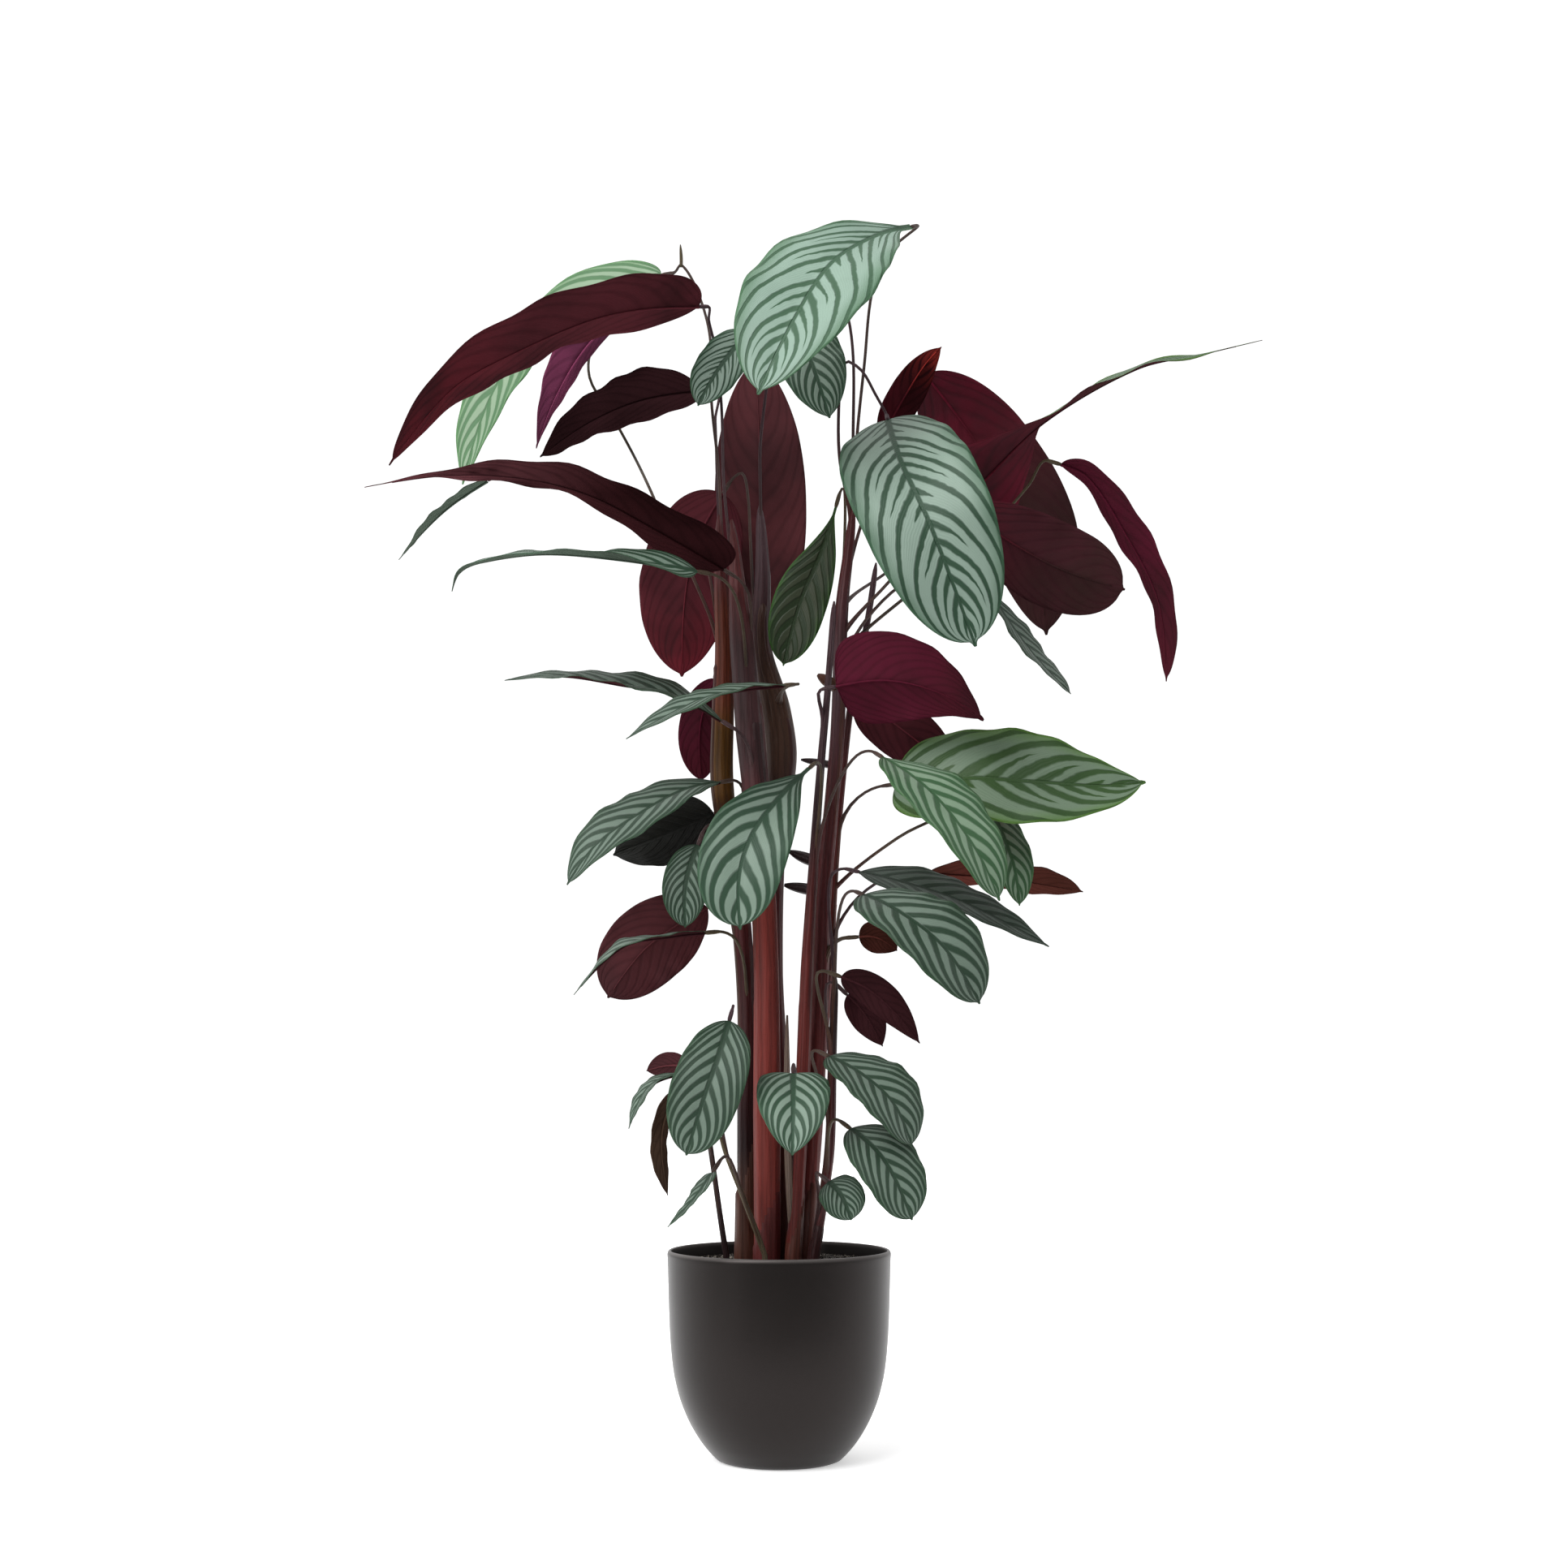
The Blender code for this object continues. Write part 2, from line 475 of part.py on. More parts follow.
def cane_path(cane):
    """Evenly spaced points and radii up the cane, straight in the soil."""
    flat = [place(*p[:3]) for p in cane]
    path = [flat[0]] + smooth_path(flat[1:], 3 + int((cane[-1][1] - cane[0][1]) / CANE_STEP))
    radii = []
    for point in path:
        lo = max(i for i in range(len(cane)) if flat[i].z <= point.z + 0.01)
        hi = min(lo + 1, len(cane) - 1)
        u = 0.0 if hi == lo else (point.z - flat[lo].z) / (flat[hi].z - flat[lo].z)
        radii.append(cane[lo][3] * (1 - u) + cane[hi][3] * u)
    return path, radii


def build_stem(name, cane, leaves, mat, collection, stalks):
    """A cane, and in the stalks' collection a tapering stalk for each of its leaves."""
    path, radii = cane_path(cane)
    stem = tube("stem_" + name, path, radii, 10, collection)
    stem.data.materials.append(mat)
    for leaf_name, _, height, rib, _, face, twist, _, _, _, vias in leaves:
        points, ahead, _ = rib_frames(rib, face, twist)
        path = stalk_path(cane, height, vias, points[0], ahead[0])
        last = len(path) - 1
        radii = [STALK_RADIUS * (1.3 - 0.3 * i / last) for i in range(last - 1)]
        stalk = tube("stalk_" + leaf_name, path, radii + [JOINT_RADIUS, JOINT_RADIUS * 0.75], 6, stalks)
        stalk.hide_render = True
        stalk.display_type = "WIRE"
    for i, (cane_name, radius, points) in enumerate(SHOOTS):
        if cane_name == name:
            path = smooth_path([place(*p) for p in points], 5)
            radii = [radius, radius, radius * 0.95, radius * 0.8, radius * 0.4]
            shoot = tube(f"shoot_{i}", path, radii, 6, stalks)
            shoot.hide_render = True
            shoot.display_type = "WIRE"
    return stem


def build_blade(name, rib, width, face, twist, fold, belly, taper, mat, collection):
    frames = rib_frames(rib, face, twist)
    rows = blade_rows(BLADE_ROWS if width > SMALL_BLADE_WIDTH else SMALL_BLADE_ROWS)
    last = len(rows) - 1
    phase = 2.4 * int(name[-2:])
    base = BASE_SHAPES.get(name, 0.6)
    bm = bmesh.new()
    bmesh.ops.create_grid(bm, x_segments=last, y_segments=BLADE_COLUMNS, size=1.0)
    for vert in bm.verts:
        s = rows[round((vert.co.x + 1) / 2 * last)]
        vert.co = blade_point(frames, width, fold, belly, taper, base, phase, s, vert.co.y) * MM
    bmesh.ops.triangulate(bm, faces=bm.faces)
    mesh = bpy.data.meshes.new(name)
    bm.to_mesh(mesh)
    bm.free()
    blade = add_object(name, mesh, mat, collection)
    shell = blade.modifiers.new("Thickness", "SOLIDIFY")
    shell.thickness = BLADE_THICKNESS * MM
    shell.offset = 0.0
    return blade


def main():
    for obj in list(bpy.data.objects):
        bpy.data.objects.remove(obj, do_unlink=True)
    plant = bpy.data.collections.new("potted_ctenanthe")
    cutters = bpy.data.collections.new("cutters")
    bpy.context.scene.collection.children.link(plant)
    bpy.context.scene.collection.children.link(cutters)
    pot_mat = material("planter_plastic", (0.028, 0.025, 0.024), 0.45)
    soil_mat = material("potting_soil", (0.012, 0.010, 0.009), 0.95)
    stem_mat = material("stem", (0.19, 0.06, 0.05), 0.5)
    leaf_mat = material("leaf", (0.20, 0.33, 0.25), 0.45)

    build_pot(pot_mat, plant)
    soil = build_soil(soil_mat, plant)
    holes = bpy.data.collections.new("stem_holes")
    cutters.children.link(holes)
    build_holes(holes)

    joined = []
    for name, cane in CANES.items():
        stalks = bpy.data.collections.new("stalks_" + name)
        cutters.children.link(stalks)
        own = [leaf for leaf in LEAVES if leaf[1] == name]
        stem = build_stem(name, cane, own, stem_mat, plant, stalks)
        if own:
            joined.append((stem, stalks))
    for name, _, _, rib, width, face, twist, fold, belly, taper, _ in LEAVES:
        build_blade(name, rib, width, face, twist, fold, belly, taper, leaf_mat, plant)

    combine(soil, "DIFFERENCE", holes)
    for stem, stalks in joined:
        combine(stem, "UNION", stalks)


main()
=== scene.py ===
import random
from collections import namedtuple
from math import cos, hypot, log, pi, radians, sin, sqrt

import bmesh
import bpy
from mathutils import Matrix, Vector, noise


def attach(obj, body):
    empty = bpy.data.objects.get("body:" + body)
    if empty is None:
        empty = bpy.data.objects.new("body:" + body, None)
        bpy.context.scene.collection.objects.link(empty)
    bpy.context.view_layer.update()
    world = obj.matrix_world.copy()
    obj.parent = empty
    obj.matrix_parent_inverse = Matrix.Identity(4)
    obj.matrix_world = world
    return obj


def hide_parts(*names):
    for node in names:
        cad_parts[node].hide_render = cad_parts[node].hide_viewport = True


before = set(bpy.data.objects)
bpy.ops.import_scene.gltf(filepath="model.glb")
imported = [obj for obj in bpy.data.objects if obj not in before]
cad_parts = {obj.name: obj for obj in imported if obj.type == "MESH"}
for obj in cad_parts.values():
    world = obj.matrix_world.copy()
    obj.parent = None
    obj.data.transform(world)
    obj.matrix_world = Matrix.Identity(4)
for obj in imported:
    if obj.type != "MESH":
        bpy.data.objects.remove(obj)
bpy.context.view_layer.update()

MM = 0.001

# The plant is laid out as it is seen from this point, in millimetres: a place is given by
# where its line of sight meets the upright plane through the planter's axis (across, up),
# and by its depth behind that plane.
EYE = Vector((2.3, -2200.0, 392.0))

# Planter and soil, in millimetres. The outside of the wall is given by radius and height.
POT_RIM_RADIUS = 110.0
POT_HEIGHT = 200.5
POT_WALL = 3.6
POT_FLOOR = 5.0
LIP_ROUND = 2.5
LIP_INNER = 1.2
LIP_OUTER = 4.4
LIP_STEPS = 16
POT_BASE_RADIUS = 56.0
POT_STEPS = 144
POT_WALL_OUTSIDE = [
    (109.6, 190.0), (108.0, 143.0), (106.4, 113.0), (103.4, 86.0), (99.0, 66.0),
    (93.6, 50.0), (85.5, 33.0), (75.5, 17.5), (66.0, 6.5), (61.0, 1.8),
]
SOIL_TOP = 190.5
SOIL_RADIUS = 105.0
SOIL_BUMP = 1.6
SOIL_FALL_START = 72.0
SOIL_FALL = 2.3
SOIL_FLOOR = 6.0
SOIL_RINGS = 46
SOIL_STEPS = 120
CRUMBS = 640
CRUMB_SIZES = (0.5, 1.7)
PALE_CRUMBS = 0.25
DRAW_SEED = 11

# Blades and midribs: lengths in millimetres, waves as shares of the width.
BLADE_THICKNESS = 0.6
BLADE_ROWS = 24
ROW_STEP = 9.0
WIDE_BLADE = 60.0
BLADE_COLUMNS = (12, 18)
BLADE_ARCH = 0.035
OVAL_POWER = 2.4
TIP_START = 0.983
TIP_WIDTH = 0.05
MARGIN_WAVE = 0.03
MARGIN_WAVES = 1.6
RIPPLE = 0.018
RIPPLES = 5.3
WAVE_PHASE = 2.4
SIDE_SHIFT = 1.9
RIB_SAMPLES = 97
RIB_END = 0.93
RIB_RADIUS = 1.25
RIB_TAPER = 0.95

# Stalks and canes, in millimetres.
STALK_GAP = 0.35
STALK_RADIUS = 1.4
JOINT_RADIUS = 2.2
JOINT_LENGTH = 14.0
STALK_STEP = 7.0
STALK_RISE = 16.0
CANE_STEP = 8.0
CANE_FOOT = 150
TIP_SHARES = (0.92, 0.75, 0.3)
SHEATH_LENGTH = 210.0
SHEATH_LET_GO = 70.0
SHEATH_TINT = 0.7
MOUTH_DEPTH = 0.75
STRAND_SHARE = 0.55
STRAND_OUT = 0.52
STRAND_TURN = 0.75
SHOOT_STEPS = 16
TUBE_SEAM = Vector((0.31, 0.87, 0.38))
RIDGE_DRIFT = 0.0011
CANE_SIDES, STRAND_SIDES, SHOOT_SIDES, RIB_SIDES = 28, 14, 12, 8
PATH_STEPS = 60
END_BUNCHING = 0.6

# The camera: lens and sensor in millimetres, and its angle from straight down.
LENS = 50.4
SENSOR = 36.0
CAMERA_TURN = 97.0

# Studio light: a pale surround that is dimmer in front, a wide soft lamp from the upper left,
# a tall soft box at the left, and a floor that glows a little. It reaches far back and ends
# shortly before the planter, whose front mirrors what lies there.
AMBIENT_FRONT = 0.36
AMBIENT_BACK = 0.88
BACKDROP = 1.1
KEY_LIGHT = 2.5
KEY_SPREAD = 50.0
KEY_WAY = (0.55, 0.62, -0.80)
BOX_LIGHT = 5.0
BOX_SIZE = (0.22, 1.3)
BOX_PLACE = (-1.5, -1.35, 0.75)
BOX_WAY = (1.5, 1.35, -0.6)
FLOOR_GLOW = 0.46
FLOOR_RADIUS = 3.2
FLOOR_BACK = 2.65

# Colours of the planter, of the painted highlight along its lip, of the soil, and of the freckles on the
# stems.
POT_TONES = (0x0d0b0a, 0x13100f)
POT_RUBS = 0x322e2c
POT_LIP_HIGHLIGHT = 0x625e5c
SOIL_TONES = (0x0d0b0a, 0x221b17)
CRUMB_TONES = (0x6c645a, 0x9f978b)
SOIL_FLECKS = 0xa8a096
FRECKLES = 0x2a1614

# How the side veins leave the midrib and curl towards the tip.
VEIN_LEAN = 1.15
VEIN_CURL = 0.9

# Canes: across, up, depth and radius, from within the soil to the tip. The feet go straight
# down from there.
CANES = {
    "left": [(-31, 195, 8, 10.5), (-32, 330, 8, 9.5), (-33, 450, 6, 9), (-42, 560, 8, 9.5),
        (-57, 655, 12, 11.5), (-57, 735, 12, 11), (-56, 800, 10, 9.5), (-60, 880, 8, 7),
        (-62, 940, 8, 3.5)],
    "front": [(-12, 195, -12, 12.5), (-12, 330, -14, 13.5), (-13, 470, -16, 12.5), (-19, 600, -15, 12.5),
        (-30, 717, -13, 14.5), (-39, 817, -11, 12), (-44, 880, -9, 7.5), (-49, 935, -7, 4)],
    "back": [(4, 195, 22, 10), (2, 330, 24, 10), (-6, 470, 28, 10), (-6, 600, 32, 12.5), (2, 690, 34, 16),
        (-4, 740, 34, 15), (-18, 800, 34, 10.5), (-17, 880, 36, 8), (-20, 950, 38, 4)],
    "right": [(22, 195, -2, 10.5), (34, 330, 0, 10), (41, 470, 2, 8.5), (44, 552, 2, 8.5),
        (52, 634, 2, 7.5), (59, 717, 2, 7), (64, 842, 0, 6.5), (72, 910, -2, 5), (76, 950, -4, 3.6)],
    "middle": [(14, 195, -24, 7), (22, 330, -24, 7), (28, 480, -22, 6.5), (36, 600, -20, 4.6),
        (43, 691, -20, 3.8), (48, 745, -20, 3.5), (56, 850, -20, 3)],
    "far": [(25, 195, 26, 7), (36, 330, 30, 6.5), (48, 470, 32, 5.5), (57, 600, 30, 4.5),
        (66, 690, 26, 3.8), (74, 752, 22, 3.5), (90, 830, 14, 3.2), (99, 890, 10, 3)],
    "low_right": [(34, 195, -24, 5), (42, 240, -28, 5), (50, 300, -30, 5), (53, 391, -32, 4.2),
        (56, 470, -34, 3.4)],
    "low_left": [(-14, 195, -36, 2.8), (-24, 222, -38, 2.7), (-37, 255, -40, 2.5), (-50, 287, -42, 2.3),
        (-59, 313, -44, 2.2)],
    "edge": [(-52, 195, -22, 3), (-58, 232, -24, 2.8), (-68, 300, -26, 2.6), (-75, 345, -26, 2.4)],
}
for cane in CANES.values():
    cane.insert(0, (cane[0][0], CANE_FOOT, *cane[0][2:]))

# Shoots that end bare: cane, radius and points (across, up, depth).
SHOOTS = [
    ("left", 1.9, [(-102, 1204, 91), (-102, 1214, 92), (-103, 1228, 92)]),
    ("right", 6.4, [(60, 760, 2), (51, 766, -3), (39, 774, -7)]),
    ("right", 4.0, [(55, 681, 4), (40, 684, 13), (22, 687, 16)]),
    ("right", 6.0, [(44, 553, 2), (28, 556, 11), (5, 560, 12)]),
    ("right", 6.4, [(44, 583, 2), (30, 586, 14), (10, 594, 20)]),
    ("middle", 4.0, [(14, 210, -24), (10, 270, -27), (8, 345, -28), (8, 430, -26)]),
]

# Leaves: cane and the height where the stalk leaves it, midrib points (across, up, depth),
# width, the way the upper side faces at mid length (azimuth from the front, positive to the
# right, and elevation), place of the widest row, how tapered the tip is, and how many long
# side veins it has. Where it isn't as usual, also colours of the upper side and underside,
# twist of the base half and of the tip half, half fold angle, how it starts (under 0.6 fuller
# than blunt, over it narrowing to a wedge), and points that the stalk passes.
Leaf = namedtuple(
    "Leaf", "number cane height rib width face belly taper veins top under twist fold base vias",
    defaults=("moss", "wine", (0, 0), 8, 0.6, ()),
)
LEAVES = [
    Leaf(1, "front", 800, [(-84, 1161, 16), (-181, 1151, -64), (-285, 1106, -96), (-340, 1071, -100),
        (-401, 992, -96)], 114, (180, 78), 0.45, 0.3, 11, top="sage", under="claret", vias=[(-56, 960, -8),
        (-60, 1060, 8), (-67, 1120, 20), (-73, 1146, 20)]),
    Leaf(2, "left", 800, [(-123, 1195, 96), (-210, 1168, 120), (-285, 1089, 112), (-325, 972, 88)], 95,
        (-20, 50), 0.45, 0.5, 11, top="mint", under="maroon", vias=[(-62, 980, 28), (-70, 1060, 48),
        (-72, 1130, 70), (-86, 1180, 86), (-102, 1206, 92)]),
    Leaf(3, "left", 760, [(-300, 976, 44), (-345, 943, 44), (-389, 893, 32)], 50, (-80, 43), 0.45, 1.0, 8,
        under="dull", vias=[(-90, 920, 24), (-200, 962, 40)]),
    Leaf(4, "left", 780, [(-165, 1155, 64), (-203, 1114, 56), (-232, 1062, 44), (-250, 1010, 36)], 50,
        (-136, 27), 0.4, 1.0, 8, under="magenta", fold=30, vias=[(-95, 890, 32), (-118, 932, 40),
        (-131, 963, 90), (-150, 1003, 176), (-170, 1040, 188), (-196, 1085, 176), (-190, 1125, 120)]),
    Leaf(5, "left", 820, [(-82, 1071, 128), (-143, 1061, 136), (-197, 1037, 128), (-246, 1001, 112)], 96,
        (180, 72), 0.42, 0.5, 9, under="night", vias=[(-64, 980, 64), (-66, 1040, 108)]),
    Leaf(6, "front", 740, [(-57, 883, -40), (-117, 919, -72), (-191, 959, -96), (-255, 977, -120),
        (-335, 982, -144), (-425.8, 969, -160)], 108, (180, 90), 0.31, 1.0, 12, under="brown",
        twist=(-10, 10)),
    Leaf(7, "front", 720, [(-84, 881, -96), (-160, 893, -136), (-240, 899, -152), (-305, 890, -152),
        (-326, 880, -148), (-334, 860, -144)], 70, (0, 77), 0.42, 0.8, 10, top="sage", under="dull",
        twist=(45, 0), base=1.0),
    Leaf(8, "back", 800, [(-58, 962, 80), (-90, 893, 90), (-99, 772, 70)], 108, (170, 0), 0.45, 0.4, 9,
        top="sage", under="claret"),
    Leaf(9, "back", 700, [(-23, 809, 96), (-19, 927, 112), (-24, 1107, 128)], 100, (180, 0), 0.5, 0.3, 11,
        top="sage", under="maroon"),
    Leaf(10, "right", 900, [(137, 1247, -56), (99, 1236, -110), (55, 1208, -150), (16, 1148, -193),
        (-22, 1067, -220)], 130, (-10, 35), 0.53, 0.3, 8, top="silver", under="maroon", twist=(35, 0),
        base=2.2, vias=[(80, 1023, 16), (88, 1100, 20), (97, 1180, 0), (116, 1222, -24)]),
    Leaf(11, "right", 880, [(14, 1150, -32), (36, 1094, -48), (52, 1042, -48)], 68, (0, 10), 0.45, 0.4, 8,
        top="sage", under="maroon", vias=[(76, 1023, 0), (72, 1147, -8), (45, 1185, -20)]),
    Leaf(12, "back", 840, [(-30, 1135, 0), (-62, 1095, -8), (-84, 1055, -8)], 52, (0, 20), 0.5, 0.3, 7,
        top="frosted", vias=[(-20, 1000, 32)]),
    Leaf(14, "right", 890, [(105, 1020, 16), (128, 1062, 12), (150, 1098, 6), (168, 1118, 4)], 38, (180, 0),
        0.45, 0.5, 7, top="fern", under="blush", fold=12, base=0.8),
    Leaf(15, "right", 860, [(151, 1088, 96), (211, 1004, 128), (258, 915, 144), (272, 815, 128)], 112,
        (170, 20), 0.48, 0.4, 10, under="garnet", vias=[(122, 1052, 70), (136, 1084, 84)]),
    Leaf(16, "right", 830, [(165, 925, 64), (212, 978, 44), (273, 1038, 16), (369, 1094, 0), (437, 1110, 0),
        (500, 1125, 0)], 124, (0, 72), 0.3, 2.2, 12, top="fern", under="garnet", twist=(140, 0), fold=4,
        vias=[(110, 880, 80)]),
    Leaf(17, "right", 920, [(112, 1040, -72), (126, 994, -152), (155, 929, -192), (200, 803, -184)], 125,
        (-5, 10), 0.5, 0.0, 8, top="frosted", under="maroon", vias=[(62, 1000, -12), (62, 1070, -32),
        (66, 1102, -44), (84, 1094, -54), (100, 1066, -60)]),
    Leaf(18, "right", 800, [(182, 950, -16), (276, 889, -32), (353, 862, -48)], 88, (180, 25), 0.6, 0.0, 9,
        under="garnet", base=0.5, vias=[(120, 880, -12)]),
    Leaf(19, "right", 780, [(290, 993, 0), (318, 979, -8), (352, 926, -16), (387, 850, -16), (393, 767, 0)],
        68, (103, 27), 0.5, 0.3, 10, under="crimson", base=0.6, vias=[(160, 880, 16), (225, 936, 30),
        (256, 971, 12)]),
    Leaf(20, "right", 760, [(211, 864, -16), (254, 800, -24), (296, 754, -24)], 56, (57, 30), 0.55, 0.3, 8,
        under="maroon"),
    Leaf(21, "middle", 720, [(58, 762, -48), (112, 768, -72), (166, 754, -96), (207, 727, -112)], 100,
        (180, 25), 0.26, 0.8, 9, under="crimson", fold=20),
    Leaf(22, "far", 600, [(118, 662, -16), (183, 668, -48), (260, 664, -64), (325, 660, -64),
        (370, 664, -56)], 112, (10, 25), 0.42, 0.6, 5, top="fern", under="maroon", base=0.4),
    Leaf(23, "middle", 560, [(105, 689, -96), (155, 652, -152), (196, 598, -176), (221, 544, -176)], 88,
        (35, 30), 0.48, 0.3, 8, top="leek", under="maroon", base=1.0),
    Leaf(24, "far", 540, [(206, 650, -8), (234, 585, -44), (241, 539, -52)], 44, (20, 0), 0.5, 0.3, 8,
        top="leek", vias=[(120, 608, 4), (170, 634, -4)]),
    Leaf(25, "far", 480, [(150, 572, 16), (228, 566, 32), (305, 553, 32)], 64, (180, 68), 0.5, 0.3, 9,
        under="umber"),
    # Its upper side is painted darker, as shade.
    Leaf(26, "low_right", 450, [(81, 573, -32), (165, 550, -64), (222, 524, -72), (270, 498, -72)], 66,
        (0, 60), 0.42, 0.8, 9, top="shaded_moss", base=1.0),
    Leaf(27, "low_right", 430, [(85, 550, -112), (125, 530, -160), (165, 497, -180), (200, 441, -180)], 85,
        (20, 35), 0.52, 0.1, 7),
    Leaf(28, "right", 470, [(80, 508, -6), (98, 507, -6), (118, 494, -6)], 32, (180, 10), 0.45, 0.6, 6,
        under="umber"),
    Leaf(29, "low_right", 380, [(62, 468, -76), (90, 455, -80), (116, 432, -80), (140, 402, -74)], 38,
        (180, 10), 0.42, 0.8, 7, fold=30),
    Leaf(39, "low_right", 350, [(68, 450, -20), (86, 430, -24), (103, 399, -28)], 36, (170, 0), 0.45, 0.8, 6,
        fold=20),
    Leaf(30, "low_right", 300, [(50, 389, -80), (84, 370, -106), (113, 343, -122), (131, 301, -122)], 74,
        (30, 40), 0.5, 0.2, 7),
    Leaf(31, "low_right", 260, [(71, 318, -96), (104, 287, -124), (131, 229, -124)], 66, (20, 25), 0.52, 0.2,
        7),
    Leaf(32, "low_right", 225, [(49, 266, -100), (62, 252, -116), (71, 229, -116)], 42, (0, 20), 0.5, 0.2, 6),
    Leaf(33, "middle", 300, [(14, 372, -80), (14, 335, -128), (13, 292, -144)], 70, (0, 25), 0.4, 0.5, 6,
        top="sage", base=0.45),
    Leaf(34, "low_left", 290, [(-50, 424, -96), (-60, 390, -120), (-74, 350, -128), (-92, 292, -120)], 68,
        (-5, 5), 0.52, 0.1, 8),
    Leaf(35, "edge", 320, [(-92, 380, -48), (-112, 380, -44), (-132, 375, -40)], 26, (180, 10), 0.45, 0.6, 6,
        under="maroon"),
    Leaf(36, "edge", 300, [(-100, 372, -68), (-130, 358, -80), (-149, 318, -80)], 35, (-65, 40), 0.45, 1.0,
        7),
    Leaf(37, "edge", 280, [(-104, 354, -84), (-117, 311, -90), (-110, 253, -84)], 30, (-120, 0), 0.45, 0.6, 7,
        under="drab"),
    Leaf(38, "low_left", 240, [(-66, 275, -100), (-82, 252, -112), (-110, 222, -112)], 26, (-60, 40), 0.3,
        1.0, 6),
    Leaf(41, "left", 440, [(-72, 537, 32), (-102, 520, 16), (-137, 493, 0), (-171, 447, -16)], 82, (180, 10),
        0.52, 0.2, 8, under="maroon"),
    Leaf(42, "left", 400, [(-75, 512, -48), (-110, 508, -64), (-156, 498, -80), (-205, 450, -80)], 50,
        (0, 86), 0.45, 1.0, 8),
    Leaf(44, "left", 560, [(-60, 664, -20), (-95, 656, -44), (-132, 637, -68), (-182, 602, -80),
        (-213, 560, -80)], 74, (0, 62), 0.5, 0.4, 9, base=1.0),
    # Its upper side is painted near black, as shade.
    Leaf(45, "left", 540, [(-66, 632, 16), (-115, 610, 8), (-167, 590, 0)], 75, (0, 20), 0.45, 0.6, 8,
        top="shade"),
    Leaf(46, "middle", 560, [(30, 678, -80), (2, 650, -128), (-26, 613, -156), (-40, 570, -168),
        (-39, 515, -168)], 82, (-5, 10), 0.66, 0.1, 8, top="sage", under="maroon", base=1.1),
    Leaf(47, "left", 520, [(-82, 600, -80), (-94, 560, -92), (-94, 517, -92)], 45, (0, 0), 0.5, 0.3, 8),
    Leaf(48, "front", 640, [(-59, 727, -48), (-110, 754, -58), (-159, 763, -60), (-220, 772, -64),
        (-279, 768, -64)], 85, (0, 72), 0.42, 0.9, 10, base=1.0),
    Leaf(49, "back", 725, [(4, 763, -126), (-45, 757, -166), (-83, 747, -186), (-155, 708, -188)], 60,
        (0, 76), 0.5, 0.7, 9, vias=[(3, 757, -10), (11, 763, -70)]),
    Leaf(51, "back", 600, [(-66, 770, 72), (-80, 720, 76), (-78, 665, 70)], 46, (180, 0), 0.5, 0.3, 7,
        under="crimson"),
    # Its upper side is painted dark, as shade.
    Leaf(52, "right", 840, [(58, 948, 24), (45, 905, 22), (22, 850, 16), (4, 783, 10)], 56, (0, 0), 0.64, 0.2,
        8, top="deep", base=1.0),
    Leaf(54, "far", 640, [(80, 750, 16), (120, 721, 20), (156, 691, 22), (182, 657, 26)], 60, (180, 0), 0.4,
        0.6, 8, under="claret"),
]

# Upper sides: the pale bands, the dark veins, the thin green margin, the share of each
# band that the vein takes, and how far the short veins reach towards the margin.
UPPER_SIDES = {
    "silver": (0x9cb8a7, 0x2f5139, 0x4a7350, 0.120, 0.46),
    "frosted": (0x98afa0, 0x1e3a28, 0x3d6347, 0.125, 0.46),
    "mint": (0x9ab696, 0x476f4b, 0x5d9058, 0.22, 0.0),
    "sage": (0x8ea494, 0x26402f, 0x416148, 0.22, 0.0),
    "leek": (0x88a388, 0x2a5030, 0x476e44, 0.22, 0.0),
    "moss": (0x76897b, 0x1f3326, 0x36523a, 0.23, 0.0),
    "fern": (0x7a9178, 0x1f3a1d, 0x557d30, 0.16, 0.45),
    # A darker copy of moss: painted shade for a leaf whose upper side lies in shadow.
    "shaded_moss": (0x4c5a50, 0x1c2a20, 0x2c4030, 0.22, 0.0),
    # A darkened green with a green margin: painted shade for a leaf whose upper side lies in shadow.
    "deep": (0x464f3b, 0x21261d, 0x406a30, 0.24, 0.0),
    # A near-black copy of the green upper side: painted shade for a leaf whose upper side lies in deep
    # shadow.
    "shade": (0x171914, 0x0d0f0b, 0x161a12, 0.20, 0.0),
}

# Undersides: the ground, its mottling, the colour that it turns towards the tip, how far
# along the blade that begins, and how light the midrib is against the ground.
UNDERSIDES = {
    "maroon": (0x64373b, 0x4b2d30, 0x5c3337, 0.45, 1.0), "wine": (0x412327, 0x2c181a, 0x381e21, 0.45, 0.9),
    "claret": (0x5a2a31, 0x402125, 0x6c262f, 0.45, 1.2),
    "crimson": (0x5a1f30, 0x411e25, 0x54202b, 0.45, 0.95),
    "magenta": (0x7e3c5a, 0x5e3046, 0x6c3650, 0.45, 1.3),
    "night": (0x311b1e, 0x251416, 0x2d181b, 0.45, 0.9), "umber": (0x5a302a, 0x3c211b, 0x4a2822, 0.45, 1.0),
    "blush": (0x44161d, 0x2c1114, 0xb03c34, 0.45, 1.2),
    "garnet": (0x681f30, 0x45242a, 0x3e2929, 0.10, 0.85),
    "brown": (0x36191c, 0x281315, 0x693c42, 0.30, 0.9), "drab": (0x5a463a, 0x3f3028, 0x4c3c32, 0.45, 0.9),
    "dull": (0x5c6a5e, 0x4b564c, 0x6a776a, 0.45, 1.0),
}

